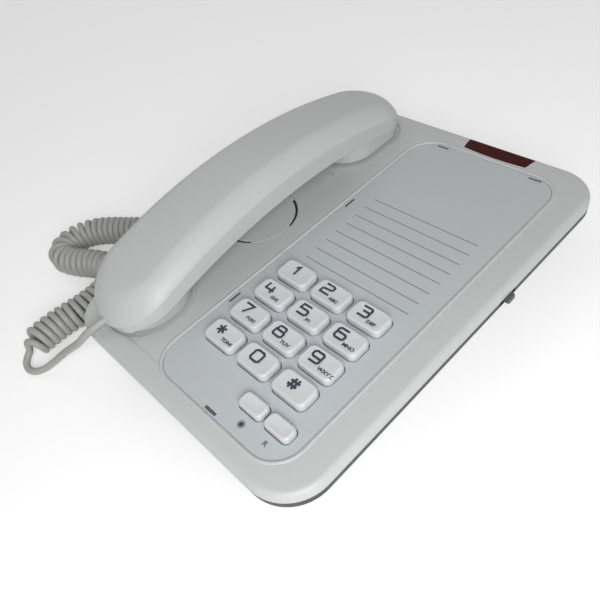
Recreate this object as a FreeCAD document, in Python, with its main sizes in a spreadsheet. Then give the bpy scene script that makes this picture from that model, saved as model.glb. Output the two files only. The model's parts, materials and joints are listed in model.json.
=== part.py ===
import FreeCAD, Part
import math
import os

import Sketcher

# Corded desk telephone: a flat base with a keypad and a cradle, and a handset on a curly cord.
# Millimetres. X runs to the right of the person dialling, Y to the rear, Z up.
# The origin is on the table, under the middle of the base.

Vector = FreeCAD.Vector
doc = FreeCAD.newDocument("desk_telephone")
sheet = doc.addObject("Spreadsheet::Sheet", "Sizes")

SIZES = {
    "base_width": 160.0,
    "base_depth": 216.0,
    "corner_radius": 21.0,
    "deck_height": 36.0,
    "cover_side": 5.0,
    "rim_round": 3.0,
    "wall": 2.5,
    "band_height": 3.5,
    "band_inset": 1.0,
    "undercut": 14.0,
    "foot_height": 2.0,
    "foot_radius": 6.0,
    "foot_inset": 26.0,
    "clearance": 0.2,
    "plate_rest": 77.5,
    "plate_right": 15.4,
    "plate_front": 9.5,
    "plate_rear": 13.1,
    "plate_radius": 14.0,
    "plate_thick": 0.5,
    "slot_length": 7.0,
    "slot_width": 1.4,
    "slot_edge": 1.6,
    "plate_recess": 1.0,
    "key_width": 18.6,
    "key_depth": 11.6,
    "key_radius": 3.0,
    "key_rise": 3.3,
    "key_crown": 0.8,
    "key_gap": 0.4,
    "key_flange": 1.0,
    "flange_thick": 1.2,
    "key_travel": 1.5,
    "key_pitch_x": 22.3,
    "key_pitch_y": 15.0,
    "keypad_shift": 1.1,
    "keypad_front": 52.2,
    "function_width": 13.4,
    "function_depth": 7.4,
    "function_radius": 2.4,
    "function_rise": 2.6,
    "function_pitch": 15.4,
    "function_right": 19.8,
    "function_front": 14.1,
    "mat_thick": 1.2,
    "dome_radius": 3.4,
    "dome_height": 1.7,
    "board_thick": 1.6,
    "board_rest": 16.5,
    "board_front": 13.0,
    "board_rear": 7.0,
    "board_shift": 6.4,
    "post_radius": 3.0,
    "screw_inset_x": 19.6,
    "screw_inset_y": 48.0,
    "boss_radius": 3.8,
    "screw_radius": 1.5,
    "screw_head_radius": 3.0,
    "screw_head": 2.0,
    "disc_radius": 21.0,
    "disc_thick": 1.5,
    "disc_shift": 1.7,
    "disc_y": -4.0,
    "slit_width": 1.3,
    "slit_angle": 62.0,
    "speaker_radius": 19.0,
    "speaker_height": 9.0,
    "lamp_x": 23.9,
    "lamp_rear_width": 40.0,
    "lamp_front_width": 36.4,
    "lamp_depth": 9.4,
    "lamp_bow": 1.0,
    "led_radius": 2.5,
    "led_height": 4.6,
    "tab_width": 11.0,
    "tab_depth": 8.0,
    "tab_thick": 1.6,
    "tab_stem": 7.0,
    "tab_stem_thick": 2.2,
    "tab_shift": 6.5,
    "tab_front": 10.5,
    "plunger_width": 9.0,
    "plunger_depth": 7.0,
    "plunger_travel": 5.0,
    "plunger_rear": 32.0,
    "hook_switch_height": 6.0,
    "knob_length": 5.0,
    "knob_height": 2.6,
    "knob_proud": 2.0,
    "knob_travel": 3.0,
    "knob_y": 25.5,
    "switch_depth": 6.0,
    "switch_length": 17.0,
    "jack_width": 13.0,
    "jack_height": 12.0,
    "jack_depth": 15.0,
    "jack_z": 13.5,
    "line_jack_x": 30.0,
    "cord_jack_front": 114.0,
    "plug_width": 7.7,
    "plug_height": 6.6,
    "plug_length": 11.0,
    "plug_proud": 2.5,
    "line_socket_width": 9.8,
    "handset_left": 28.0,
    "mouth_front": 7.6,
    "ear_rear": 5.4,
    "mouth_half": 24.0,
    "ear_half": 20.8,
    "mouth_corner": 21.0,
    "ear_corner": 18.0,
    "arch_rise": 33.2,
    "arch_radius": 275.0,
    "arch_y": 2.0,
    "mouth_turn": 24.0,
    "mouth_round": 22.0,
    "ear_turn": 16.0,
    "ear_round": 14.0,
    "under_rise": 17.5,
    "under_radius": 330.0,
    "mouth_inner": 52.5,
    "ear_inner": 58.0,
    "cup_draw": 2.0,
    "cup_flare": 1.5,
    "cup_top": 15.0,
    "cup_round": 0.9,
    "cup_depth": 9.0,
    "cup_step": 3.5,
    "cup_seat": 0.3,
    "lip_gap": 0.8,
    "well_gap": 1.0,
    "ring_depth": 0.8,
    "ring_reach": 2.4,
    "well_wall": 2.0,
    "bevel": 4.2,
    "parting_drop": 5.4,
    "shell_wall": 2.4,
    "shell_side": 4.0,
    "capsule_radius": 11.2,
    "capsule_height": 7.0,
    "microphone_radius": 5.0,
    "microphone_height": 6.0,
    "grille_hole": 1.2,
    "grille_ring": 7.0,
    "weight_length": 60.0,
    "weight_width": 20.0,
    "weight_height": 6.0,
    "handset_jack_rise": 5.2,
    "handset_jack_height": 8.0,
    "handset_jack_sunk": 3.2,
    "cord_diameter": 3.2,
    "curl_diameter": 13.4,
    "curl_pitch": 5.0,
    "curl_lift": 0.4,
}


class Size:
    """A number together with the sheet formula that gives it."""

    def __init__(self, number, formula):
        self.number = number
        self.formula = formula

    def join(self, other, sign, flipped):
        if not isinstance(other, Size):
            other = Size(float(other), repr(float(other)))
        first, second = (other, self) if flipped else (self, other)
        formula = "(" + first.formula + " " + sign + " " + second.formula + ")"
        numbers = {
            "+": first.number + second.number,
            "-": first.number - second.number,
            "*": first.number * second.number,
            "/": first.number / second.number if second.number else 0.0,
        }
        return Size(numbers[sign], formula)

    def __add__(self, other):
        return self.join(other, "+", False)

    def __radd__(self, other):
        return self.join(other, "+", True)

    def __sub__(self, other):
        return self.join(other, "-", False)

    def __rsub__(self, other):
        return self.join(other, "-", True)

    def __mul__(self, other):
        return self.join(other, "*", False)

    def __rmul__(self, other):
        return self.join(other, "*", True)

    def __truediv__(self, other):
        return self.join(other, "/", False)

    def __neg__(self):
        return self.join(-1, "*", True)


class Sizes:
    """The sheet's cells as named sizes."""


size = Sizes()
for row, (alias, number) in enumerate(SIZES.items(), start=1):
    sheet.set("A" + str(row), alias)
    sheet.set("B" + str(row), str(number))
    sheet.setAlias("B" + str(row), alias)
    setattr(size, alias, Size(number, "Sizes." + alias))
doc.recompute()

ZERO = Size(0.0, "0")

# Places that follow from the edges of the base.
front = -size.base_depth / 2
rear = size.base_depth / 2
left = -size.base_width / 2
right = size.base_width / 2
plate_right = right - size.plate_right
plate_front = front + size.plate_front
size.plate_width = size.base_width - size.plate_rest
size.plate_depth = size.base_depth - size.plate_front - size.plate_rear
size.plate_x = plate_right - size.plate_width / 2
size.plate_y = plate_front + size.plate_depth / 2
size.keypad_x = size.plate_x - size.keypad_shift
size.keypad_y = plate_front + size.keypad_front
size.function_x = plate_right - size.function_right
size.function_y = plate_front + size.function_front
size.board_width = size.plate_width - size.board_rest
size.board_depth = size.base_depth - size.board_front - size.board_rear
size.board_x = size.plate_x - size.board_shift
size.board_y = front + size.board_front + size.board_depth / 2
size.handset_x = left + size.handset_left
size.disc_x = size.handset_x + size.disc_shift
size.tab_x = size.handset_x + size.tab_shift
size.mouth_y = front + size.mouth_front
size.ear_y = rear - size.ear_rear
size.mouth_turn_y = front + size.mouth_turn
size.ear_turn_y = rear - size.ear_turn
size.mouth_inner_y = front + size.mouth_inner
size.ear_inner_y = rear - size.ear_inner
size.tab_y = size.ear_inner_y - size.tab_front
size.plunger_y = rear - size.plunger_rear
size.cord_jack_y = front + size.cord_jack_front
size.handset_jack_z = size.deck_height + size.handset_jack_rise


def bind(item, prop, amount):
    """Tie one property to the sheet."""
    if not isinstance(amount, Size):
        amount = Size(float(amount), repr(float(amount)))
    item.setExpression(prop, amount.formula)


def new_body(label):
    body = doc.addObject("PartDesign::Body", label)
    body.Label = label
    return body


def new_sketch(body, role, x=ZERO, y=ZERO, z=ZERO):
    """An empty sketch on one of the body's origin planes, moved by x and y in it and by z off it."""
    sketch = body.newObject("Sketcher::SketchObject", body.Name + "_sketch")
    for feature in body.Origin.OriginFeatures:
        if feature.Role == role:
            sketch.AttachmentSupport = (feature, [""])
    sketch.MapMode = "FlatFace"
    bind(sketch, "AttachmentOffset.Base.x", x)
    bind(sketch, "AttachmentOffset.Base.y", y)
    bind(sketch, "AttachmentOffset.Base.z", z)
    return sketch


def dimension(sketch, kind, *where, amount):
    """A driving dimension whose value comes from the sheet."""
    index = sketch.addConstraint(Sketcher.Constraint(kind, *where, amount.number))
    bind(sketch, "Constraints[" + str(index) + "]", amount)


def rounded_sketch(body, width, depth, radius, x=ZERO, y=ZERO, z=ZERO):
    """A rectangle with round corners, centred on x and y at the level z."""
    sketch = new_sketch(body, "XY_Plane", x, y, z)
    a, b, r = width.number / 2, depth.number / 2, radius.number
    corners = [(a - r, b - r, 0), (r - a, b - r, 90), (r - a, r - b, 180), (a - r, r - b, 270)]
    arcs = []
    for cx, cy, start in corners:
        circle = Part.Circle(Vector(cx, cy, 0), Vector(0, 0, 1), r)
        arcs.append(sketch.addGeometry(
            Part.ArcOfCircle(circle, math.radians(start), math.radians(start + 90))))
    for i in range(4):
        first = sketch.getPoint(arcs[i], 2)
        second = sketch.getPoint(arcs[(i + 1) % 4], 1)
        side = sketch.addGeometry(Part.LineSegment(first, second))
        sketch.addConstraint(Sketcher.Constraint("Tangent", arcs[i], 2, side, 1))
        sketch.addConstraint(Sketcher.Constraint("Tangent", side, 2, arcs[(i + 1) % 4], 1))
        direction = "Horizontal" if i % 2 == 0 else "Vertical"
        sketch.addConstraint(Sketcher.Constraint(direction, side))
    for i in range(1, 4):
        sketch.addConstraint(Sketcher.Constraint("Equal", arcs[0], arcs[i]))
    dimension(sketch, "Radius", arcs[0], amount=radius)
    dimension(sketch, "DistanceX", arcs[2], 1, arcs[0], 1, amount=width)
    dimension(sketch, "DistanceY", arcs[2], 2, arcs[0], 2, amount=depth)
    sketch.addConstraint(Sketcher.Constraint("Symmetric", arcs[0], 3, arcs[2], 3, -1, 1))
    return sketch


def round_sketch(body, radius, x=ZERO, y=ZERO, z=ZERO):
    """A circle about x and y at the level z."""
    sketch = new_sketch(body, "XY_Plane", x, y, z)
    ring = sketch.addGeometry(Part.Circle(Vector(0, 0, 0), Vector(0, 0, 1), radius.number))
    sketch.addConstraint(Sketcher.Constraint("Coincident", ring, 3, -1, 1))
    dimension(sketch, "Radius", ring, amount=radius)
    return sketch


def pad(body, sketch, height, down=False):
    feature = body.newObject("PartDesign::Pad", body.Name + "_pad")
    feature.Profile = sketch
    feature.Reversed = down
    bind(feature, "Length", height)
    return feature


def pocket(body, sketch, depth, up=False):
    """A cut that runs down from its sketch, or up."""
    feature = body.newObject("PartDesign::Pocket", body.Name + "_pocket")
    feature.Profile = sketch
    feature.Reversed = up
    bind(feature, "Length", depth)
    return feature


def round_top(body, level, radius):
    """Round the edge all round the body's flat top, which is at level."""
    doc.recompute()
    solid = body.Tip
    names = []
    for i, edge in enumerate(solid.Shape.Edges, start=1):
        if edge.BoundBox.ZMin > level.number - 0.01:
            names.append("Edge" + str(i))
    rounding = body.newObject("PartDesign::Fillet", body.Name + "_round")
    rounding.Base = (solid, names)
    bind(rounding, "Radius", radius)
    doc.recompute()


def bevel_top(body, level, width):
    """A flat bevel all round the body's flat top, which is at level."""
    doc.recompute()
    solid = body.Tip
    names = []
    for i, edge in enumerate(solid.Shape.Edges, start=1):
        if edge.BoundBox.ZMin > level.number - 0.01:
            names.append("Edge" + str(i))
    slope = body.newObject("PartDesign::Chamfer", body.Name + "_bevel")
    slope.Base = (solid, names)
    bind(slope, "Size", width)
    doc.recompute()


def loft(body, kind, sketches):
    feature = body.newObject("PartDesign::" + kind, body.Name + "_loft")
    feature.Profile = sketches[0]
    feature.Sections = sketches[1:]
    feature.Ruled = True
    return feature


def block(label, centre, low, sides):
    """A plain box, by its middle in X and Y, its lowest level and its three sides."""
    item = doc.addObject("Part::Box", label)
    item.Label = label
    bind(item, "Length", sides[0])
    bind(item, "Width", sides[1])
    bind(item, "Height", sides[2])
    bind(item, "Placement.Base.x", centre[0] - sides[0] / 2)
    bind(item, "Placement.Base.y", centre[1] - sides[1] / 2)
    bind(item, "Placement.Base.z", low)
    return item


def cylinder(label, centre, low, radius, height):
    item = doc.addObject("Part::Cylinder", label)
    item.Label = label
    bind(item, "Radius", radius)
    bind(item, "Height", height)
    bind(item, "Placement.Base.x", centre[0])
    bind(item, "Placement.Base.y", centre[1])
    bind(item, "Placement.Base.z", low)
    return item


def fuse(label, items):
    item = doc.addObject("Part::MultiFuse", label)
    item.Label = label
    item.Shapes = items
    return item


def common(label, items):
    item = doc.addObject("Part::MultiCommon", label)
    item.Label = label
    item.Shapes = items
    return item


def cut(label, base, tools):
    """The base less all the tools."""
    item = doc.addObject("Part::Cut", label)
    item.Label = label
    item.Base = base
    item.Tool = tools[0] if len(tools) == 1 else fuse(label + "_tools", tools)
    return item


def group(label, items):
    """Loose like pieces, such as feet, kept as one node."""
    item = doc.addObject("Part::Compound", label)
    item.Label = label
    item.Links = items
    return item


# Levels and places that several pieces share.
deck = size.deck_height
split = deck - size.cover_side
ceiling = deck - size.wall
floor_low = size.foot_height
floor_top = size.foot_height + size.wall
band_low = split - size.band_height
plate_seat = deck - size.plate_recess
flange_top = ceiling - size.clearance
flange_low = flange_top - size.flange_thick
dome_top = flange_low - size.key_travel - size.clearance
mat_top = dome_top - size.dome_height
board_top = mat_top - size.mat_thick
board_low = board_top - size.board_thick
well_floor = deck - size.cup_depth - size.cup_seat
well_low = well_floor - size.wall
lip = deck + size.lip_gap
over_deck = deck + 1

SCREWS = [
    (size.base_width / 2 - size.screw_inset_x, size.base_depth / 2 - size.screw_inset_y),
    (size.base_width / 2 - size.screw_inset_x, size.screw_inset_y - size.base_depth / 2),
    (size.handset_x - 4, size.tab_y - 11),
    (size.handset_x - 4, size.disc_y - 33),
]
POSTS = [
    (size.board_x - size.board_width / 2 + 5, size.board_y - size.board_depth / 2 + 22),
    (size.board_x - size.board_width / 2 + 5, size.board_y + size.board_depth / 2 - 22),
    (size.board_x + size.board_width / 2 - 5, size.board_y - size.board_depth / 2 + 32),
    (size.board_x + size.board_width / 2 - 5, size.board_y + size.board_depth / 2 - 32),
]

KEYS = {}
for row, names in enumerate((("star", "0", "hash"), ("7", "8", "9"), ("4", "5", "6"), ("1", "2", "3"))):
    for column, name in enumerate(names):
        KEYS["key_" + name] = (
            size.keypad_x + (column - 1) * size.key_pitch_x,
            size.keypad_y + (row - 1.5) * size.key_pitch_y,
            size.key_width,
            size.key_depth,
            size.key_radius,
            size.key_rise,
        )
for side, name in ((-0.5, "redial"), (0.5, "flash")):
    KEYS["key_" + name] = (
        size.function_x + side * size.function_pitch,
        size.function_y,
        size.function_width,
        size.function_depth,
        size.function_radius,
        size.function_rise,
    )


def key_hole(body, key, low, height):
    """The opening that a key passes through, cut upwards from the level low."""
    x, y, width, depth, radius, rise = key
    gap = size.key_gap
    sketch = rounded_sketch(body, width + 2 * gap, depth + 2 * gap, radius + gap, x, y, low)
    return pocket(body, sketch, height, up=True)


# The handset's outer form, also used smaller for its hollow and larger for the cradle wells.
def plan_form(label, grow, low, high):
    """The handset seen from above, as an upright prism: wider at the mouth, with round ends."""
    body = new_body(label)
    sketch = new_sketch(body, "XY_Plane", size.handset_x, ZERO, low)
    mouth_half = size.mouth_half + grow
    ear_half = size.ear_half + grow
    front_y = size.mouth_y - grow
    rear_y = size.ear_y + grow
    corners = [
        Vector(-mouth_half.number, front_y.number, 0),
        Vector(mouth_half.number, front_y.number, 0),
        Vector(ear_half.number, rear_y.number, 0),
        Vector(-ear_half.number, rear_y.number, 0),
    ]
    for i in range(4):
        sketch.addGeometry(Part.LineSegment(corners[i], corners[(i + 1) % 4]))
    for i in range(4):
        sketch.addConstraint(Sketcher.Constraint("Coincident", i, 2, (i + 1) % 4, 1))
    sketch.addConstraint(Sketcher.Constraint("Horizontal", 0))
    sketch.addConstraint(Sketcher.Constraint("Horizontal", 2))
    dimension(sketch, "DistanceX", 0, 1, -1, 1, amount=mouth_half)
    dimension(sketch, "DistanceX", -1, 1, 0, 2, amount=mouth_half)
    dimension(sketch, "DistanceX", 2, 2, -1, 1, amount=ear_half)
    dimension(sketch, "DistanceX", -1, 1, 2, 1, amount=ear_half)
    dimension(sketch, "DistanceY", 0, 1, -1, 1, amount=-front_y)
    dimension(sketch, "DistanceY", -1, 1, 2, 1, amount=rear_y)
    height = high - low
    pad(body, sketch, height)
    doc.recompute()
    for near_mouth, radius in ((True, size.mouth_corner), (False, size.ear_corner)):
        solid = body.Tip
        names = []
        for i, edge in enumerate(solid.Shape.Edges, start=1):
            first, last = edge.Vertexes[0].Point, edge.Vertexes[-1].Point
            upright = abs(first.z - last.z) > height.number / 2
            sharp = upright and min(abs(first.y - front_y.number), abs(first.y - rear_y.number)) < 0.01
            if sharp and (first.y < 0) == near_mouth:
                names.append("Edge" + str(i))
        rounding = body.newObject("PartDesign::Fillet", label + "_corners")
        rounding.Base = (solid, names)
        bind(rounding, "Radius", radius + grow)
        doc.recompute()
    return body


def side_form(label, shrink):
    """The handset seen from the side: an arched back with round ends, down to the foot of the cups."""
    body = new_body(label)
    sketch = new_sketch(body, "YZ_Plane", ZERO, deck, size.handset_x - 2 * size.mouth_half)
    arch = size.arch_radius.number - shrink.number
    centre = Vector(size.arch_y.number, size.arch_rise.number - size.arch_radius.number, 0)

    def end_arc(turn_y, turn_radius, way):
        """Where an end's arc leaves the arch, its middle, and where it stands upright."""
        reach = turn_y.number - size.arch_y.number
        outward = Vector(reach, math.sqrt(size.arch_radius.number ** 2 - reach ** 2), 0).normalize()
        hub = centre + outward * (size.arch_radius.number - turn_radius.number)
        radius = turn_radius.number - shrink.number
        half = outward + Vector(way, 0, 0)
        half.normalize()
        return hub + outward * radius, hub + half * radius, hub + Vector(way * radius, 0, 0)

    mouth_top, mouth_mid, mouth_end = end_arc(size.mouth_turn_y, size.mouth_round, -1)
    ear_top, ear_mid, ear_end = end_arc(size.ear_turn_y, size.ear_round, 1)
    crest = centre + Vector(0, arch, 0)
    low = shrink.number - size.cup_depth.number
    front_low = Vector(mouth_end.x, low, 0)
    rear_low = Vector(ear_end.x, low, 0)
    sketch.addGeometry([
        Part.Arc(mouth_end, mouth_mid, mouth_top),
        Part.Arc(mouth_top, crest, ear_top),
        Part.Arc(ear_top, ear_mid, ear_end),
        Part.LineSegment(ear_end, rear_low),
        Part.LineSegment(rear_low, front_low),
        Part.LineSegment(front_low, mouth_end),
    ])
    pad(body, sketch, 4 * size.mouth_half)
    return body


def grip_space(label, rise):
    """Everything under the arched lower edge of the grip, which is raised by rise for the hollow."""
    body = new_body(label)
    sketch = new_sketch(body, "YZ_Plane", ZERO, deck, size.handset_x - 2 * size.mouth_half)
    radius = size.under_radius.number
    hub = Vector(size.arch_y.number, size.under_rise.number + rise.number - radius, 0)
    reach = 1.2 * size.ear_y.number
    low = -2 * size.cup_depth.number

    def on_edge(y):
        return Vector(y, hub.y + math.sqrt(radius ** 2 - (y - hub.x) ** 2), 0)

    first, crest, last = on_edge(-reach), on_edge(hub.x), on_edge(reach)
    sketch.addGeometry([
        Part.Arc(first, crest, last),
        Part.LineSegment(last, Vector(reach, low, 0)),
        Part.LineSegment(Vector(reach, low, 0), Vector(-reach, low, 0)),
        Part.LineSegment(Vector(-reach, low, 0), first),
    ])
    pad(body, sketch, 4 * size.mouth_half)
    return body


def above_parting(label):
    """Everything over the curved line where the two handset shells meet."""
    body = new_body(label)
    sketch = new_sketch(body, "YZ_Plane", ZERO, deck, size.handset_x - 2 * size.mouth_half)
    radius = size.arch_radius.number
    centre = Vector(size.arch_y.number, size.arch_rise.number - size.parting_drop.number - radius, 0)
    reach = 1.2 * size.ear_y.number

    def on_line(y):
        return Vector(y, centre.y + math.sqrt(radius ** 2 - (y - centre.x) ** 2), 0)

    front, rear, crest = on_line(-reach), on_line(reach), on_line(centre.x)
    lid = 2 * size.arch_rise.number
    sketch.addGeometry([
        Part.Arc(front, crest, rear),
        Part.LineSegment(rear, Vector(reach, lid, 0)),
        Part.LineSegment(Vector(reach, lid, 0), Vector(-reach, lid, 0)),
        Part.LineSegment(Vector(-reach, lid, 0), front),
    ])
    pad(body, sketch, 4 * size.mouth_half)
    return body


def end_reach(turn_y, turn_radius, way):
    """How far an end of the handset reaches, at the level where its arc stands upright."""
    lean = (turn_y - size.arch_y) / size.arch_radius
    return size.arch_y + lean * (size.arch_radius - turn_radius) + way * turn_radius


def mouth_end_y():
    return end_reach(size.mouth_turn_y, size.mouth_round, -1)


def ear_end_y():
    return end_reach(size.ear_turn_y, size.ear_round, 1)


def cup_places():
    """The two cups at the level of the deck, as (label, middle, half width, length)."""
    mouth_front = mouth_end_y() + size.cup_draw
    ear_rear = ear_end_y() - size.cup_draw
    return [
        ("mouth", (mouth_front + size.mouth_inner_y) / 2, size.mouth_half - size.cup_draw,
         size.mouth_inner_y - mouth_front),
        ("ear", (ear_rear + size.ear_inner_y) / 2, size.ear_half - size.cup_draw,
         ear_rear - size.ear_inner_y),
    ]


def cup_ring(body, cup, grow, level):
    """A cup's round outline at a level, grown all round."""
    label, middle, half, length = cup
    return rounded_sketch(body, 2 * (half + grow), length + 2 * grow, (half + grow) * size.cup_round,
                          size.handset_x, middle, level)


def cups(label, shrink, floor):
    """Both cups: bowls that widen upwards from the deck, each on a narrower foot in its well."""
    items = []
    for cup in cup_places():
        body = new_body(label + "_" + cup[0])
        bowl_low = lip + floor
        bowl_high = deck + size.cup_top
        if shrink.number:
            pad(body, cup_ring(body, cup, -shrink, bowl_low), bowl_high - bowl_low)
        else:
            loft(body, "AdditiveLoft", [cup_ring(body, cup, ZERO, bowl_low),
                                        cup_ring(body, cup, size.cup_flare, bowl_high)])
        foot_low = deck - size.cup_depth + floor
        pad(body, cup_ring(body, cup, -size.cup_step - shrink, foot_low), bowl_low - foot_low + 1)
        items.append(body)
    doc.recompute()
    return items


def wells(label, grow, low, high):
    """Both cradle wells as solids, grown by a wall or not."""
    items = []
    for cup in cup_places():
        body = new_body(label + "_" + cup[0])
        pad(body, cup_ring(body, cup, size.well_gap + grow, low), high - low)
        items.append(body)
    doc.recompute()
    return items


def lamp_prism(label, gap):
    """The tapered block that the message lamp lens is cut from, at the middle of the rear edge."""
    body = new_body(label)
    sketch = new_sketch(body, "XY_Plane", size.lamp_x, ZERO, split - 1)
    rear_y = rear + 1
    front_y = rear - size.lamp_depth - gap
    rear_half = size.lamp_rear_width / 2 + gap
    front_half = size.lamp_front_width / 2 + gap
    corners = [
        Vector(-front_half.number, front_y.number, 0),
        Vector(front_half.number, front_y.number, 0),
        Vector(rear_half.number, rear_y.number, 0),
        Vector(-rear_half.number, rear_y.number, 0),
    ]
    bow = Vector(0, (front_y - size.lamp_bow).number, 0)
    sketch.addGeometry(Part.Arc(corners[0], bow, corners[1]))
    for i in range(1, 4):
        sketch.addGeometry(Part.LineSegment(corners[i], corners[(i + 1) % 4]))
    for i in range(4):
        sketch.addConstraint(Sketcher.Constraint("Coincident", i, 2, (i + 1) % 4, 1))
    sketch.addConstraint(Sketcher.Constraint("Horizontal", 0, 1, 0, 2))
    sketch.addConstraint(Sketcher.Constraint("Horizontal", 2))
    bow_radius = (front_half * front_half + size.lamp_bow * size.lamp_bow) / (2 * size.lamp_bow)
    dimension(sketch, "Radius", 0, amount=bow_radius)
    dimension(sketch, "DistanceX", 0, 1, -1, 1, amount=front_half)
    dimension(sketch, "DistanceX", -1, 1, 0, 2, amount=front_half)
    dimension(sketch, "DistanceX", 2, 2, -1, 1, amount=rear_half)
    dimension(sketch, "DistanceX", -1, 1, 2, 1, amount=rear_half)
    dimension(sketch, "DistanceY", -1, 1, 0, 1, amount=front_y)
    dimension(sketch, "DistanceY", -1, 1, 2, 1, amount=rear_y)
    pad(body, sketch, size.cover_side + 2)
    return body


def cover_form(label):
    """The top cover before its openings: a shallow tray, upside down, with a round rim."""
    body = new_body(label)
    outline = rounded_sketch(body, size.base_width, size.base_depth, size.corner_radius, z=split)
    pad(body, outline, size.cover_side)
    round_top(body, deck, size.rim_round)
    inside = 2 * size.wall
    hollow = rounded_sketch(body, size.base_width - inside, size.base_depth - inside,
                            size.corner_radius - size.wall, z=split)
    pocket(body, hollow, size.cover_side - size.wall, up=True)
    doc.recompute()
    return body


def bottom_cover():
    """The dark tub: an upright band under the cover's lip, then sides that draw in to the floor."""
    body = new_body("bottom_tub")

    def ring(inset, level):
        return rounded_sketch(body, size.base_width - 2 * inset, size.base_depth - 2 * inset,
                              size.corner_radius - inset, z=level)

    outer = size.band_inset
    inner = size.band_inset + size.wall
    low_outer = size.band_inset + size.undercut
    low_inner = inner + size.undercut
    loft(body, "AdditiveLoft", [ring(outer, band_low), ring(low_outer, floor_low)])
    pad(body, ring(outer, band_low), size.band_height)
    loft(body, "SubtractiveLoft", [ring(inner, band_low), ring(low_inner, floor_top)])
    pocket(body, ring(inner, split), size.band_height)
    doc.recompute()
    posts = [cylinder("board_post_" + str(i), post, floor_low, size.post_radius, board_low - floor_low)
             for i, post in enumerate(POSTS)]
    posts += [cylinder("screw_pillar_" + str(i), place, floor_low, size.boss_radius + 1.5,
                       size.screw_head + 2 * size.wall - size.wall / 2)
              for i, place in enumerate(SCREWS)]
    holes = [cylinder("screw_way_" + str(i), place, floor_low - 1, size.screw_radius + size.clearance,
                      3 * size.wall + size.screw_head)
             for i, place in enumerate(SCREWS)]
    holes += [cylinder("screw_sink_" + str(i), place, floor_low - 1, size.screw_head_radius + size.clearance,
                       size.screw_head + size.clearance + 1)
              for i, place in enumerate(SCREWS)]
    holes += [cylinder("foot_seat_" + str(i), place, floor_low - 1, size.foot_radius + size.clearance, 2.0)
              for i, place in enumerate(feet_places())]
    gap = size.clearance / 2
    jack_low = size.jack_z - size.jack_height / 2 - gap
    wide = size.jack_width + 2 * gap
    tall = size.jack_height + 2 * gap
    reach = size.jack_depth + size.undercut + gap
    holes.append(block("line_jack_way", (size.line_jack_x, line_jack_y() + size.undercut / 2 - gap / 2), jack_low,
                       (wide, reach, tall)))
    holes.append(block("cord_jack_way", (cord_jack_x() - size.undercut / 2 + gap / 2, size.cord_jack_y), jack_low,
                       (reach, wide, tall)))
    holes.append(block("knob_way", (size.base_width / 2 - size.band_inset, size.knob_y), knob_low() - 0.2,
                       (4 * size.wall, size.knob_length + 2 * size.knob_travel + 0.8, size.knob_height + 0.4)))
    return cut("base_bottom_cover", fuse("tub_with_posts", [body] + posts), holes)


def feet_places():
    x = size.base_width / 2 - size.foot_inset
    y = size.base_depth / 2 - size.foot_inset
    return [(x, y), (-x, y), (-x, -y), (x, -y)]


def line_jack_y():
    return size.base_depth / 2 - size.band_inset - size.undercut / 2 - size.jack_depth / 2


def cord_jack_x():
    return size.band_inset + size.undercut / 2 + size.jack_depth / 2 - size.base_width / 2


def knob_low():
    return band_low + (size.band_height - size.knob_height) / 2


def top_cover():
    """The pale cover with its wells, faceplate seat, key openings, lamp gap and slots."""
    shell = cover_form("cover_shell")
    well_walls = wells("well_wall", size.well_wall - size.cup_step, well_low, ceiling + 0.5)
    bosses = [cylinder("screw_boss_" + str(i), place, boss_low(), size.boss_radius, ceiling + 0.5 - boss_low())
              for i, place in enumerate(SCREWS)]
    holes = new_body("cover_openings")
    recess = rounded_sketch(holes, size.plate_width + 2 * size.clearance, size.plate_depth + 2 * size.clearance,
                            size.plate_radius + size.clearance, size.plate_x, size.plate_y, plate_seat)
    pad(holes, recess, size.plate_recess + 1)
    doc.recompute()
    cuts = [holes]
    for label, (x, y, width, depth, radius, rise) in KEYS.items():
        cuts.append(block(label + "_way", (x, y), ceiling - 1,
                          (width + 2 * size.key_gap, depth + 2 * size.key_gap, size.wall + 1)))
    cuts.append(cylinder("disc_seat", (size.disc_x, size.disc_y), deck - size.disc_thick,
                         size.disc_radius + size.clearance, size.disc_thick + 1))
    cuts.append(cylinder("sound_way", (size.disc_x, size.disc_y), ceiling - 1,
                         size.disc_radius - size.slit_width / 4, size.wall + 1))
    cuts.append(lamp_prism("lamp_gap", size.clearance / 2))
    cuts += plate_slots(ceiling - 1, size.wall + 1)
    cuts.append(block("tab_seat", (size.tab_x, size.tab_y), deck - size.tab_thick,
                      (size.tab_width + 2 * size.clearance, size.tab_depth + 2 * size.clearance, size.tab_thick + 1)))
    cuts.append(block("tab_slot", (size.tab_x, size.tab_y), ceiling - 1,
                      (size.tab_width - 2, size.tab_stem_thick + 2 * size.clearance, size.wall + 1)))
    cuts.append(block("plunger_way", (size.handset_x, size.plunger_y), well_low - 1,
                      (size.plunger_width + 2 * size.clearance, size.plunger_depth + 2 * size.clearance,
                       2 * size.wall + 1)))
    cuts += wells("well_space", -size.cup_step, well_floor, over_deck)
    cuts += wells("well_ring", size.ring_reach - size.well_gap, deck - size.ring_depth, over_deck)
    cuts += [cylinder("boss_bore_" + str(i), place, boss_low() - 1, size.screw_radius + 0.05,
                      size.cover_side + 9)
             for i, place in enumerate(SCREWS)]
    return cut("base_top_cover", fuse("cover_with_wells", [shell] + well_walls + bosses), cuts)


def boss_low():
    """The level where a screw boss of the cover stands on the tub's pillar."""
    return floor_low + size.screw_head + 1.5 * size.wall


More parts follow.
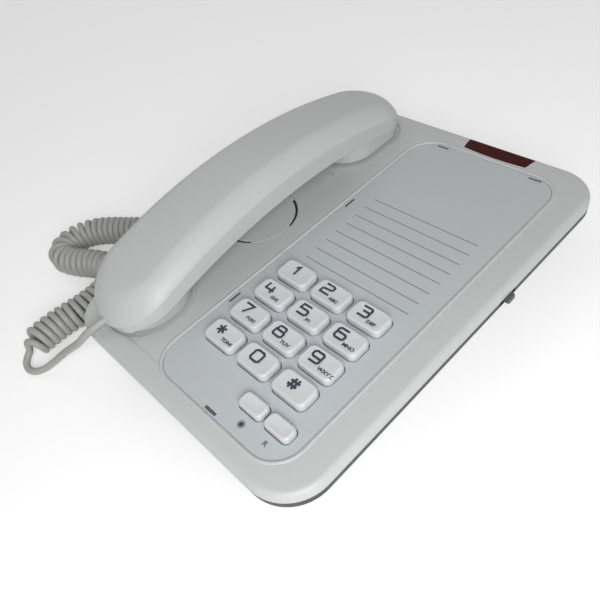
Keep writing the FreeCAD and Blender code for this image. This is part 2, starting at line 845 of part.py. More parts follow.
def plate_slots(low, height):
    """The narrow latch slots along the edge of the faceplate, cut through it and the cover."""
    edge = size.slot_edge
    plate_left = size.plate_x - size.plate_width / 2 + edge
    plate_rear = size.plate_y + size.plate_depth / 2 - edge
    slots = []
    for x, y, along_x in (
        (size.plate_x - size.plate_width / 3, plate_rear, True),
        (size.plate_x + size.plate_width / 3, plate_rear, True),
        (plate_left, size.plate_y + size.plate_depth / 6, False),
        (plate_left, size.plate_y - size.plate_depth / 4, False),
        (size.plate_x, plate_front + edge, True),
    ):
        sides = (size.slot_length, size.slot_width) if along_x else (size.slot_width, size.slot_length)
        slots.append(block("latch_slot", (x, y), low, sides + (height,)))
    return slots


def faceplate():
    body = new_body("plate_sheet")
    outline = rounded_sketch(body, size.plate_width, size.plate_depth, size.plate_radius,
                             size.plate_x, size.plate_y, plate_seat)
    pad(body, outline, size.plate_thick)
    for place in KEYS.values():
        key_hole(body, place, plate_seat - 0.5, size.plate_thick + 1)
    doc.recompute()
    return cut("faceplate", body, plate_slots(plate_seat - 0.5, size.plate_thick + 1))


def key(label, place):
    """A key: a cap with a bevelled top edge on a flange that stops it under the cover."""
    x, y, width, depth, radius, rise = place
    rim = 2 * size.key_flange
    flange = block(label + "_flange", (x, y), flange_low, (width + rim, depth + rim, size.flange_thick))
    cap = new_body(label + "_cap")
    pad(cap, rounded_sketch(cap, width, depth, radius, x, y, flange_low), deck + rise - flange_low)
    bevel_top(cap, deck + rise, size.key_crown)
    return fuse(label, [flange, cap])


def keypad_mat():
    """The rubber mat on the board, with one dome under each key."""
    body = new_body("mat_sheet")
    width = 2 * size.key_pitch_x + size.key_width + 4
    depth = size.key_pitch_y * 3 + size.key_depth + 4
    pad(body, rounded_sketch(body, width, depth, size.key_radius, size.keypad_x, size.keypad_y, board_top),
        size.mat_thick)
    strip = size.function_pitch + size.function_width + 4
    strip_front = size.function_y - size.function_depth / 2 - 2
    reach = size.keypad_y - depth / 2 + 4 - strip_front
    pad(body, rounded_sketch(body, strip, reach, size.function_radius, size.function_x, strip_front + reach / 2, board_top),
        size.mat_thick)
    doc.recompute()
    stud = (2 * size.dome_radius, 2 * size.dome_radius, size.mat_thick + size.dome_height)
    studs = [block(label + "_stud", place[:2], board_top, stud) for label, place in KEYS.items()]
    return fuse("keypad_mat", [body] + studs)


def circuit_board():
    body = new_body("main_circuit_board")
    pad(body, rounded_sketch(body, size.board_width, size.board_depth, size.key_radius,
                             size.board_x, size.board_y, board_low), size.board_thick)
    return body


def cradle_disc():
    """The round plate in the cradle floor, with two curved sound slits at its rim."""
    body = new_body("cradle_disc")
    pad(body, round_sketch(body, size.disc_radius, size.disc_x, size.disc_y, deck - size.disc_thick),
        size.disc_thick)
    outer = size.disc_radius.number + 1
    inner = size.disc_radius.number - size.slit_width.number
    half = math.radians(size.slit_angle.number / 2)
    for middle in (math.radians(-20), math.radians(215)):
        sketch = new_sketch(body, "XY_Plane", size.disc_x, size.disc_y, deck + 1)
        ends = []
        for radius in (inner, outer):
            circle = Part.Circle(Vector(0, 0, 0), Vector(0, 0, 1), radius)
            sketch.addGeometry(Part.ArcOfCircle(circle, middle - half, middle + half))
            ends.append([Vector(radius * math.cos(middle + way * half), radius * math.sin(middle + way * half), 0)
                         for way in (-1, 1)])
        for way in (0, 1):
            sketch.addGeometry(Part.LineSegment(ends[0][way], ends[1][way]))
        pocket(body, sketch, size.disc_thick + 2)
    return body


def ringer_speaker():
    body = new_body("ringer_speaker")
    top = ceiling - size.clearance
    pad(body, round_sketch(body, size.speaker_radius + 1, size.disc_x, size.disc_y, top - 2), Size(2.0, "2"))
    cone_low = top - 2
    pad(body, round_sketch(body, size.speaker_radius * 0.55, size.disc_x, size.disc_y, cone_low),
        size.speaker_height - 2, down=True)
    return body


def lamp_lens():
    """The red lens, a piece of the cover's own rim."""
    return common("message_lamp_lens", [cover_form("lens_shell"), lamp_prism("lens_block", ZERO)])


def lamp_led():
    body = new_body("message_lamp_led")
    y = size.base_depth / 2 - size.wall - 2 * size.led_radius - 2
    pad(body, round_sketch(body, size.led_radius, size.lamp_x, y, board_top), size.led_height)
    bevel_top(body, board_top + size.led_height, size.led_radius / 2)
    return body


def hook_plunger():
    """The button in the ear well that the resting handset holds down."""
    body = new_body("hook_plunger")
    low = floor_top + size.hook_switch_height + size.clearance
    pad(body, rounded_sketch(body, size.plunger_width, size.plunger_depth, size.plunger_depth / 5,
                             size.handset_x, size.plunger_y, low), well_floor - low)
    stop = well_low - size.plunger_travel - size.clearance
    pad(body, rounded_sketch(body, size.plunger_width + 4, size.plunger_depth + 3, size.plunger_depth / 5,
                             size.handset_x, size.plunger_y, stop), size.flange_thick, down=True)
    return body


def hook_switch():
    body = new_body("hook_switch")
    pad(body, rounded_sketch(body, size.plunger_width + 8, size.plunger_depth + 5, size.key_crown,
                             size.handset_x, size.plunger_y, floor_top), size.hook_switch_height)
    return body


def hook_tab():
    """The small tab that keeps the handset on the cradle when the telephone hangs on a wall."""
    body = new_body("handset_hook_tab")
    pad(body, rounded_sketch(body, size.tab_width, size.tab_depth, size.tab_depth / 4,
                             size.tab_x, size.tab_y, deck - size.tab_thick), size.tab_thick)
    width = size.tab_width - 2 - 2 * size.clearance
    pad(body, rounded_sketch(body, width, size.tab_stem_thick, size.tab_stem_thick / 4,
                             size.tab_x, size.tab_y, deck - size.tab_thick), size.tab_stem, down=True)
    return body


def jack(label, centre, to_rear, socket_width):
    """A jack block with its socket open to the rear, or else to the left."""
    wide = socket_width + 2 * size.clearance
    tall = size.plug_height + 2 * size.clearance
    past = size.wall
    long = size.plug_length - size.plug_proud + size.clearance + past
    shift = (size.jack_depth - long) / 2 + past
    if to_rear:
        shell_sides = (size.jack_width, size.jack_depth, size.jack_height)
        socket_sides = (wide, long, tall)
        middle = (centre[0], centre[1] + shift)
    else:
        shell_sides = (size.jack_depth, size.jack_width, size.jack_height)
        socket_sides = (long, wide, tall)
        middle = (centre[0] - shift, centre[1])
    shell = block(label + "_block", centre, size.jack_z - size.jack_height / 2, shell_sides)
    return cut(label, shell, [block(label + "_socket", middle, size.jack_z - tall / 2, socket_sides)])


def ringer_switch():
    """The slide switch behind the right edge: its body inside, its knob through the dark band."""
    wall_in = size.base_width / 2 - size.band_inset - size.wall
    middle = wall_in - size.clearance - size.switch_depth / 2
    switch = block("ringer_switch_body", (middle, size.knob_y), knob_low() - size.clearance,
                   (size.switch_depth, size.switch_length, size.knob_height + 2 * size.clearance))
    stem = size.wall + size.band_inset + size.clearance + size.knob_proud - 0.1
    knob = new_body("ringer_switch_knob")
    pad(knob, rounded_sketch(knob, stem, size.knob_length, size.key_crown,
                             wall_in - size.clearance + 0.1 + stem / 2, size.knob_y, knob_low()), size.knob_height)
    return [switch, knob]


def feet():
    items = [cylinder("foot_" + str(i), place, ZERO, size.foot_radius, size.foot_height + 1)
             for i, place in enumerate(feet_places())]
    return group("rubber_feet", items)


def screw(label, place, low, shank):
    """A screw seen from below: a flat head and a plain shank."""
    head = cylinder(label + "_head", place, low, size.screw_head_radius, size.screw_head)
    stem = cylinder(label + "_shank", place, low, size.screw_radius, size.screw_head + shank)
    return fuse(label, [head, stem])


def base_screws():
    shank = size.wall * 2 + 8
    items = [screw("cover_screw_" + str(i), place, floor_low + 0.1, shank) for i, place in enumerate(SCREWS)]
    return group("base_screws", items)


def bevelled(label, base):
    """The handset form with a flat bevel all along the edge of its back."""
    doc.recompute()
    edges = []
    for i, edge in enumerate(base.Shape.Edges, start=1):
        middle = edge.valueAt((edge.FirstParameter + edge.LastParameter) / 2)
        faces = base.Shape.ancestorsOfType(edge, Part.Face)
        kinds = [abs(face.normalAt(*face.Surface.parameter(middle)).z) for face in faces]
        on_back = max(kinds) > 0.2 and min(kinds) < 0.001
        across = abs(edge.Vertexes[0].X - edge.Vertexes[-1].X) > size.mouth_half.number
        if on_back and not across and middle.z > deck.number + 4:
            low = deck.number + size.under_rise.number + 4
            near_end = abs(middle.y) > size.ear_inner_y.number
            if middle.z > low or near_end:
                edges.append((i, size.bevel.number, size.bevel.number))
    chamfer = doc.addObject("Part::Chamfer", label)
    chamfer.Label = label
    chamfer.Base = base
    chamfer.Edges = edges
    return chamfer


def handset_solid(label, shrink, wall):
    """The handset's form, or its hollow: an arched band with two cups under its ends."""
    low = deck - 2 * size.cup_depth
    plan = plan_form(label + "_plan", -shrink, low, deck + 2 * size.arch_rise)
    side = side_form(label + "_side", wall)
    band = cut(label + "_band", plan, [grip_space(label + "_grip_space", wall)])
    return common(label, [fuse(label + "_whole", [band] + cups(label + "_cup", shrink, wall)), side])


def handset_shells():
    body = bevelled("handset_form", handset_solid("handset_outer", ZERO, ZERO))
    hollow = handset_solid("handset_hollow", size.shell_side, size.shell_wall)
    gap = size.clearance / 2
    jack_way = block("handset_jack_way", (size.handset_x, handset_jack_y() - size.jack_depth / 2),
                     size.handset_jack_z - size.handset_jack_height / 2 - gap,
                     (size.jack_width + 2 * gap, 2 * size.jack_depth + 2 * gap,
                      size.handset_jack_height + 2 * gap))
    walls = cut("handset_walls", body, [hollow, jack_way])
    above = above_parting("parting_block")
    upper = common("handset_upper_shell", [walls, above])
    lower_form = cut("lower_form", walls, [above])
    low = deck - size.cup_depth - 1
    holes = []
    for y, count in ((ear_middle(), 6), (mouth_middle(), 3)):
        holes.append(cylinder("grille_hole", (size.handset_x, y), low, size.grille_hole, size.shell_wall + 2))
        for step in range(count):
            angle = 2 * math.pi * step / count
            place = (size.handset_x + size.grille_ring * math.cos(angle), y + size.grille_ring * math.sin(angle))
            holes.append(cylinder("grille_hole", place, low, size.grille_hole, size.shell_wall + 2))
    lower = cut("handset_lower_shell", lower_form, holes)
    return [upper, lower]


def ear_middle():
    return (size.ear_inner_y + size.ear_y) / 2


def mouth_middle():
    return (size.mouth_inner_y + size.mouth_y) / 2


def handset_jack_y():
    return mouth_end_y() + size.handset_jack_sunk + size.jack_depth / 2


def handset_jack():
    low = size.handset_jack_z - size.handset_jack_height / 2
    shell = block("handset_jack_block", (size.handset_x, handset_jack_y()), low,
                  (size.jack_width, size.jack_depth, size.handset_jack_height))
    long = size.plug_length - size.plug_proud + size.clearance
    tall = size.plug_height + 2 * size.clearance
    socket = block("handset_jack_socket",
                   (size.handset_x, handset_jack_y() - (size.jack_depth - long) / 2 - 0.5),
                   size.handset_jack_z - tall / 2, (size.plug_width + 2 * size.clearance, long + 1, tall))
    return cut("handset_jack", shell, [socket])


def handset_insides():
    """The two capsules and the steel weight, each on the floor of its cup or of the grip."""
    cup_floor = deck - size.cup_depth + size.shell_wall + 0.1
    receiver = cylinder("receiver_capsule", (size.handset_x, ear_middle()), cup_floor,
                        size.capsule_radius, size.capsule_height)
    microphone = cylinder("microphone_capsule", (size.handset_x, mouth_middle()), cup_floor,
                          size.microphone_radius, size.microphone_height)
    reach = size.weight_length.number / 2
    sag = size.under_radius.number + size.shell_wall.number
    drop = sag - math.sqrt(sag ** 2 - 1)
    grip_floor = deck + size.under_rise + size.shell_wall + 0.2 - drop
    weight = block("handset_weight", (size.handset_x, size.arch_y), grip_floor,
                   (size.weight_width, Size(reach * 2, repr(reach * 2)), size.weight_height))
    return [receiver, microphone, weight]


# The cord. Its route is a list of points, with arcs as large as the runs allow at each point.
curl_level = size.curl_diameter.number / 2 + size.curl_lift.number
handset_plug_y = mouth_end_y().number + size.handset_jack_sunk.number - size.plug_proud.number
base_plug_x = cord_jack_x().number - size.jack_depth.number / 2 - size.plug_proud.number
jack_level = size.jack_z.number

def by_corner(x, y, z):
    """A point of the cord by its distances from the front left corner of the base."""
    return (left.number + x, front.number + y, z)


HANDSET_TAIL = [
    (size.handset_x.number, handset_plug_y, size.handset_jack_z.number),
    (size.handset_x.number, handset_plug_y - 5.0, size.handset_jack_z.number),
    by_corner(25.5, -3.5, 39.6),
    by_corner(20.0, -7.6, 33.6),
    by_corner(14.0, -10.6, 26.4),
    by_corner(8.2, -13.3, 19.0),
    by_corner(2.6, -16.2, 12.0),
    by_corner(-3.0, -19.3, curl_level),
    by_corner(-8.5, -22.5, curl_level),
]
COIL = [
    by_corner(-8.5, -22.5, curl_level),
    by_corner(-15.4, -26.5, curl_level),
    by_corner(-24.8, -24.8, curl_level),
    by_corner(-30.4, -17.5, curl_level),
    by_corner(-29.6, -3.5, curl_level),
    by_corner(-27.0, 12.0, curl_level),
    by_corner(-28.0, 29.0, curl_level),
    by_corner(-37.0, 39.0, curl_level),
    by_corner(-51.0, 37.0, curl_level),
    by_corner(-66.0, 28.0, curl_level),
    by_corner(-80.0, 24.0, curl_level),
    by_corner(-88.0, 34.0, curl_level),
    by_corner(-83.0, 50.0, curl_level),
    by_corner(-76.0, 68.0, curl_level),
    by_corner(-70.0, 87.0, curl_level),
    by_corner(-58.0, 102.0, curl_level),
    by_corner(-42.0, 110.5, curl_level),
    by_corner(-27.0, 115.0, curl_level),
    by_corner(-18.0, 115.0, curl_level),
]
BASE_TAIL = [
    by_corner(-18.0, 115.0, curl_level),
    by_corner(-11.5, 115.0, curl_level),
    by_corner(-3.0, 114.0, jack_level),
    (base_plug_x, size.cord_jack_y.number, jack_level),
]


def arc_mid(first, corner, last):
    """The middle of the arc that touches both arms of a corner of equal arms."""
    chord = (first + last) * 0.5
    half = (last - first).Length / 2
    height = (corner - chord).Length
    radius = half * (corner - first).Length / height
    sag = radius - math.sqrt(max(radius ** 2 - half ** 2, 0.0))
    return chord + (corner - chord) * (sag / height), radius


def route_pieces(points):
    """Straight runs and tangent arcs along the points: (start, middle or None, end, radius)."""
    points = [Vector(*point) for point in points]
    pieces = []
    here = points[0]
    for i in range(1, len(points) - 1):
        back = points[i - 1] - points[i]
        ahead = points[i + 1] - points[i]
        arm = 0.45 * min(back.Length, ahead.Length)
        first = points[i] + back.normalize() * arm
        last = points[i] + ahead.normalize() * arm
        middle, radius = arc_mid(first, points[i], last)
        pieces.append((here, None, first, 0.0))
        pieces.append((first, middle, last, radius))
        here = last
    pieces.append((here, None, points[-1], 0.0))
    return pieces


def route_wire(points):
    edges = []
    for first, middle, last, radius in route_pieces(points):
        if middle is None:
            edges.append(Part.LineSegment(first, last).toShape())
        else:
            edges.append(Part.Arc(first, middle, last).toShape())
    return Part.Wire(edges)


def cord_section(at, along, sides=4):
    """A many-sided outline of the wire, square to along."""
    across = along.cross(Vector(0, 0, 1)).normalize()
    up = across.cross(along).normalize()
    radius = size.cord_diameter.number / 2
    corners = []
    for i in range(sides + 1):
        angle = 2 * math.pi * (i % sides + 0.5) / sides
        corners.append(at + across * (radius * math.cos(angle)) + up * (radius * math.sin(angle)))
    return Part.makePolygon(corners)


def tube(label, wire, start, along):
    """The wire's outline carried along its path as one solid."""
    solid = wire.makePipeShell([cord_section(start, along)], True, False)
    item = doc.addObject("Part::Feature", label)
    item.Label = label
    item.Shape = solid
    item.Placement = FreeCAD.Placement()
    return item


def tail(label, points):
    pieces = route_pieces(points)
    radii = [round(piece[3], 1) for piece in pieces if piece[1] is not None]
    print(label, "radii", radii)
    start = Vector(*points[0])
    along = (Vector(*points[1]) - start).normalize()
    return tube(label, route_wire(points), start, along)


def coil_samples(points):
    """Points of the helix at each half turn, with its direction there.

    The curls stand about the route, closer on its inner side: the pitch grows in a bend so that the
    inner gap stays the same. The first and last turn open out from the route's own line.
    """
    reach = (size.curl_diameter.number - size.cord_diameter.number) / 2
    pitch = size.curl_pitch.number
    stations = []
    length = 0.0
    phase = 0.0
    for first, middle, last, radius in route_pieces(points):
        edge = (Part.LineSegment(first, last) if middle is None else Part.Arc(first, middle, last)).toShape()
        bend = reach / radius if radius else 0.0
        count = max(int(edge.Length / 0.1), 2)
        for i in range(count):
            where = edge.FirstParameter + (edge.LastParameter - edge.FirstParameter) * i / count
            stations.append((length + edge.Length * i / count, phase, edge.valueAt(where), edge.tangentAt(where)))
            phase += 2 * math.pi * edge.Length / count * (1.0 - min(bend, 0.6)) / pitch
        length += edge.Length
    turns = int(phase / (2 * math.pi))
    scale = turns * 2 * math.pi / phase
    lead = 1.5 * size.cord_diameter.number

    def helix(i):
        run, angle, at, along = stations[i]
        side = Vector(0, 0, 1).cross(along)
        ramp = min(1.0, max(0.0, run - lead) / pitch / 1.5, max(0.0, length - lead - run) / pitch / 1.5)
        ramp = ramp * ramp * (3 - 2 * ramp)
        angle *= scale
        return at + (side * math.cos(angle) + Vector(0, 0, 1) * math.sin(angle)) * (reach * ramp)

    samples = [(stations[0][2], stations[0][3])]
    step = math.pi
    target = step
    for i in range(1, len(stations) - 1):
        run, angle = stations[i][0], stations[i][1] * scale
        if run > lead and angle >= target and run < length - lead:
            samples.append((helix(i), (helix(i + 1) - helix(i - 1)).normalize()))
            target += step
    end = stations[-1]
    samples.append((Vector(*points[-1]), end[3]))
    return samples, turns


def biarc(first, first_way, last, last_way):
    """Two arcs that leave one point along its direction and reach the next along its own."""
    gap = last - first
    ways = first_way + last_way
    turn = 2 * (1 - first_way.dot(last_way))
    along = gap.dot(ways)
    if turn < 1e-6:
        arm = gap.dot(gap) / (4 * gap.dot(first_way))
    else:
        arm = (math.sqrt(along ** 2 + turn * gap.dot(gap)) - along) / turn
    first_corner = first + first_way * arm
    last_corner = last - last_way * arm
    joint = (first_corner + last_corner) * 0.5
    edges = []
    for start, corner, end in ((first, first_corner, joint), (joint, last_corner, last)):
        if (start - corner).normalize().cross((end - corner).normalize()).Length < 1e-4:
            edges.append(Part.LineSegment(start, end).toShape())
        else:
            edges.append(Part.Arc(start, arc_mid(start, corner, end)[0], end).toShape())
    return edges


def least_gap(wire):
    """The least clear distance between stretches of the tube that are not neighbours."""
    points = wire.discretize(Number=max(int(wire.Length / 1.2), 10))
    step = wire.Length / (len(points) - 1)
    skip = int(2.5 * size.cord_diameter.number / step)
    least = 1e9
    for i, point in enumerate(points):
        for other in points[i + skip:]:
            if abs(other.x - point.x) < 8 and abs(other.y - point.y) < 8:
                least = min(least, (other - point).Length)
    return least - size.cord_diameter.number


def curly_stretch(label, points):
    samples, turns = coil_samples(points)
    edges = []
    for i in range(len(samples) - 1):
        edges += biarc(samples[i][0], samples[i][1], samples[i + 1][0], samples[i + 1][1])
    wire = Part.Wire(edges)
    print(label, "curls", turns, "wire length", round(wire.Length, 1), "least gap", round(least_gap(wire), 2))
    radii = [round(piece[3], 1) for piece in route_pieces(points) if piece[1] is not None]
    print(label, "route radii", radii)
    return tube(label, wire, samples[0][0], samples[0][1])


def plugs():
    tall = size.plug_height
    handset_y = Size(handset_plug_y, repr(handset_plug_y)) + size.plug_length / 2
    base_x = Size(base_plug_x, repr(base_plug_x)) + size.plug_length / 2
    return [
        block("cord_plug_handset", (size.handset_x, handset_y), size.handset_jack_z - tall / 2,
              (size.plug_width, size.plug_length, tall)),
        block("cord_plug_base", (base_x, size.cord_jack_y), size.jack_z - tall / 2,
              (size.plug_length, size.plug_width, tall)),
    ]


parts = [top_cover(), bottom_cover(), faceplate(), keypad_mat(), circuit_board(), cradle_disc(), ringer_speaker()]
parts += [key(label, place) for label, place in KEYS.items()]
parts += [lamp_lens(), lamp_led(), hook_plunger(), hook_switch(), hook_tab()]
parts.append(jack("line_jack", (size.line_jack_x, line_jack_y()), True, size.line_socket_width))
parts.append(jack("base_cord_jack", (cord_jack_x(), size.cord_jack_y), False, size.plug_width))
parts += ringer_switch()
parts += [feet(), base_screws()]
parts += handset_shells()
parts += handset_insides()
parts.append(handset_jack())
parts += plugs()
parts.append(tail("cord_tail_handset", HANDSET_TAIL))
parts.append(curly_stretch("cord_coil", COIL))
parts.append(tail("cord_tail_base", BASE_TAIL))
doc.recompute()

faults = [item.Label for item in doc.Objects if "Invalid" in item.State or "Error" in item.State]
for item in parts:
    if item.Shape.isNull() or not item.Shape.isValid() or not item.Shape.Solids:
        faults.append(item.Label)
if faults:
    raise RuntimeError("failed pieces: " + ", ".join(sorted(set(faults))))

os.makedirs("parts", exist_ok=True)
for item in parts:
    item.Shape.exportStep("parts/" + item.Label + ".step")
print(len(parts), "pieces written")
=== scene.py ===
"""A corded desk telephone: flat base with dial keys, cradle and message lamp, and a handset on a curly cord.

Metres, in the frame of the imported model: X to the right of the person dialling, Y to the rear, Z up.
"""

import json
import math

import bmesh
import bpy
import numpy as np
from bpy.props import FloatProperty, FloatVectorProperty, PointerProperty
from mathutils import Matrix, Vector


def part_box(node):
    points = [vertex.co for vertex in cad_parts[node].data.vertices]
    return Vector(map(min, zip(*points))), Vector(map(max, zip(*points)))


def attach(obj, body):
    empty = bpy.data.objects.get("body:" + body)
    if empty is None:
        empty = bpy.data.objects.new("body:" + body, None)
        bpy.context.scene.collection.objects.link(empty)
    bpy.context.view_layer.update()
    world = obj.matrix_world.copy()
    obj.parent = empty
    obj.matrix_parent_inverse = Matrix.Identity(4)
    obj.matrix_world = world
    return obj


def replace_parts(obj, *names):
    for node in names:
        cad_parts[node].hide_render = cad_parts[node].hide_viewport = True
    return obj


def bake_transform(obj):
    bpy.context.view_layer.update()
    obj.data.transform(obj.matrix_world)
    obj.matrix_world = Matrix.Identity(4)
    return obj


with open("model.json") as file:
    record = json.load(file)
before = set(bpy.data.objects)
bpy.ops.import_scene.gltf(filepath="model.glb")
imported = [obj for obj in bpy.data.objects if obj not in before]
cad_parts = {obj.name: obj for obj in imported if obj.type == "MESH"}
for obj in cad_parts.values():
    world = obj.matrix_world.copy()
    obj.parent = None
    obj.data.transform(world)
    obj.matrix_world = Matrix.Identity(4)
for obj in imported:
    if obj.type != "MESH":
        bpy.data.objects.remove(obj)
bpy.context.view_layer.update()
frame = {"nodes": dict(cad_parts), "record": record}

bl_info = {
    "name": "Corded desk telephone",
    "version": (1, 0, 0),
    "blender": (4, 5, 0),
    "location": "View3D > Sidebar > Telephone",
    "description": "Builds the finished surfaces of a corded desk telephone round its packed frame",
    "category": "Add Mesh",
}

MM = 0.001
UP = np.array((0.0, 0.0, 1.0))

KEY_LETTERS = {
    "key_1": ("1", ""), "key_2": ("2", "ABC"), "key_3": ("3", "DEF"),
    "key_4": ("4", "GHI"), "key_5": ("5", "JKL"), "key_6": ("6", "MNO"),
    "key_7": ("7", "PQRS"), "key_8": ("8", "TUV"), "key_9": ("9", "WXYZ"),
    "key_star": ("*", "TONE"), "key_0": ("0", ""), "key_hash": ("#", ""),
}
FUNCTION_KEYS = ("key_redial", "key_flash")

# The squarish digits as strokes in a unit box.
LOW_BOWL = ((0.0, 0.56), (0.84, 0.56), (1.0, 0.44), (1.0, 0.13), (0.84, 0.0), (0.16, 0.0), (0.0, 0.13))
STROKES = {
    "0": (((0.5, 0.0), (0.82, 0.0), (1.0, 0.16), (1.0, 0.84), (0.82, 1.0),
           (0.18, 1.0), (0.0, 0.84), (0.0, 0.16), (0.18, 0.0), (0.5, 0.0)),),
    "1": (((0.26, 0.74), (0.6, 1.0), (0.6, 0.0)),),
    "2": (((0.0, 1.0), (0.84, 1.0), (1.0, 0.88), (1.0, 0.64), (0.84, 0.53),
           (0.16, 0.47), (0.0, 0.36), (0.0, 0.0), (1.0, 0.0)),),
    "3": (((0.0, 1.0), (0.84, 1.0), (1.0, 0.88), (1.0, 0.64), (0.84, 0.53), (0.24, 0.53)),
          ((0.84, 0.53), (1.0, 0.42), (1.0, 0.13), (0.84, 0.0), (0.0, 0.0))),
    "4": (((0.06, 1.0), (0.0, 0.34), (1.0, 0.34)), ((0.76, 0.82), (0.76, 0.0))),
    "5": (((0.96, 1.0), (0.04, 1.0), *LOW_BOWL[:5], (0.0, 0.0)),),
    "6": (((0.96, 1.0), (0.16, 1.0), (0.0, 0.87), (0.0, 0.56)), (*LOW_BOWL, (0.0, 0.56))),
    "7": (((0.0, 1.0), (1.0, 1.0), (0.4, 0.0)),),
    "8": ((*LOW_BOWL, (0.0, 0.56)),
          ((0.1, 0.56), (0.1, 0.88), (0.24, 1.0), (0.76, 1.0), (0.9, 0.88), (0.9, 0.56))),
    "9": (((0.04, 0.0), (0.84, 0.0), (1.0, 0.13), (1.0, 0.44)),
          tuple((1 - x, 1 - y) for x, y in (*LOW_BOWL, LOW_BOWL[0]))),
    "#": (((0.26, 0.0), (0.44, 1.0)), ((0.62, 0.0), (0.8, 1.0)),
          ((0.06, 0.68), (1.0, 0.68)), ((0.0, 0.3), (0.94, 0.3))),
    "*": (((0.5, 0.0), (0.5, 1.0)), ((0.08, 0.26), (0.92, 0.74)), ((0.08, 0.74), (0.92, 0.26))),
}

# The cord's route in millimetres, from the handset's plug to the base's plug, and its curls' two ends.
CORD_ROUTE = (
    (-52.0, -98.4, 41.2), (-52.3, -104.0, 41.0), (-54.8, -109.0, 39.0), (-59.5, -112.0, 33.8),
    (-65.6, -114.2, 27.6), (-72.6, -116.5, 21.6), (-79.6, -119.2, 15.8), (-85.6, -122.8, 10.4),
    (-89.6, -128.2, 6.2), (-92.6, -134.2, 3.8), (-97.4, -138.8, 2.8), (-103.0, -139.6, 3.4),
    (-106.6, -136.0, 5.8), (-108.0, -130.2, 8.4), (-109.0, -123.5, 8.9), (-109.6, -111.5, 8.9),
    (-107.0, -96.0, 8.9), (-108.0, -79.0, 8.9), (-117.0, -69.0, 8.9), (-131.0, -71.0, 8.9),
    (-146.0, -80.0, 8.9), (-160.0, -84.0, 8.9), (-168.0, -74.0, 8.9), (-165.0, -60.5, 8.9),
    (-155.0, -51.0, 8.9), (-142.5, -43.5, 8.9), (-130.0, -35.0, 8.9), (-119.0, -24.0, 8.9),
    (-110.0, -11.5, 8.9), (-103.0, -0.5, 8.9), (-93.5, 5.2, 9.6), (-83.0, 6.0, 13.5),
    (-74.5, 6.0, 13.5),
)
CURLS_START = (-107.2, -134.0, 6.8)
CURLS_END = (-103.5, -1.0, 8.9)

# The handset's back in millimetres: ends of its middle line with the half widths there, and the arc along it.
HANDSET_X = -52.0
MOUTH_Y, MOUTH_HALF = -75.4, 25.2
EAR_Y, EAR_HALF = 80.4, 21.2
ARCH_Y, ARCH_CREST, ARCH_RADIUS = 2.0, 71.2, 275.0
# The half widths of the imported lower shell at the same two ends.
SHELL_HALVES = (23.6, 21.1)

# The cradle disc's middle in millimetres and its turn in degrees.
DISC_X, DISC_Y, DISC_TURN = -50.3, -4.0, 61.0
# Its slits: radius, and width of the painted shade laid in them, in millimetres, middles before that turn and
# half angle in degrees.
SLIT_RADIUS, SLIT_SHADE_WIDTH, SLIT_MIDDLES, SLIT_HALF = 20.35, 1.0, (-20, 215), 30

# The faceplate in millimetres: its corner, ruled lines, latch slots as x, y, length and width, and the places
# of the function keys' marks.
PLATE_CORNER = 14.0
RULED_LENGTH, RULED_X, RULED_FIRST_Y, RULED_STEP, RULED_COUNT = 62.7, 24.15, -11.16, 7.2, 8
LATCH_SLOTS = (
    (-4.15, 93.3, 6.6, 1.1), (50.85, 93.3, 6.6, 1.1), (23.35, -96.9, 6.6, 1.1),
    (-16.3, 30.4, 1.1, 6.6), (-16.3, -50.15, 1.1, 6.6),
)
REDIAL_MARK = (38.3, -92.9)
FLASH_MARK = (52.2, -92.4)

# An edge that turns more than this is sharp, or gets a round.
EDGE_TURN = math.radians(32)


def colour_setting(name, description, default):
    """A colour that a user may change."""
    return FloatVectorProperty(name=name, description=description, subtype="COLOR", size=3, min=0, max=1,
                               default=default)


def length_setting(name, description, default):
    """A length in metres that a user may change."""
    return FloatProperty(name=name, description=description, unit="LENGTH", default=default)


class FinishColours(bpy.types.PropertyGroup):
    """The colours of the telephone's finishes."""

    cover: colour_setting("Cover", "Off-white of the cover and handset", (0.585, 0.597, 0.59))
    plate: colour_setting("Faceplate", "Cool grey of the faceplate", (0.54, 0.572, 0.597))
    key: colour_setting("Keys", "White of the key caps", (0.69, 0.71, 0.72))
    # Painted shade: this near-black stands both for a charcoal bottom and for the shade that falls under the
    # cover's rim.
    tub: colour_setting("Bottom", "Charcoal of the bottom tub", (0.045, 0.048, 0.055))
    lamp: colour_setting("Lamp", "Dark red of the message lamp", (0.045, 0.0022, 0.0020))
    ink: colour_setting("Ink", "Dark blue ink of the legends", (0.012, 0.014, 0.030))
    cord: colour_setting("Cord", "Grey of the cord's jacket", (0.43, 0.435, 0.415))
    floor: colour_setting("Floor", "Pale floor", (0.86, 0.86, 0.86))


class TelephoneSizes(bpy.types.PropertyGroup):
    """The sizes of the finished surfaces that can be set by themselves."""

    cover_edge: length_setting("Cover edge", "Round on the moulded edges of the base", 0.45 * MM)
    handset_edge: length_setting("Handset edge", "Round on the edges of the handset's front", 0.8 * MM)
    key_crown: length_setting("Key crown", "Round of a key's top edge", 1.0 * MM)
    key_dish: length_setting("Key dish", "How far a key's top sinks at its middle", 0.35 * MM)
    digit: length_setting("Digit", "Height of a key's digit", 6.3 * MM)
    letters: length_setting("Letters", "Height of a key's letters", 1.8 * MM)
    line: length_setting("Ruled line", "Width of a ruled line", 0.34 * MM)
    wire: length_setting("Cord", "Diameter of the cord's jacket", 3.8 * MM)
    curl: length_setting("Curl", "Outer diameter of the curls", 17.4 * MM)
    pitch: length_setting("Pitch", "Least step from curl to curl", 3.9 * MM)
    cord_length: length_setting("Cord length", "Length of the cord along its jacket", 2.26)


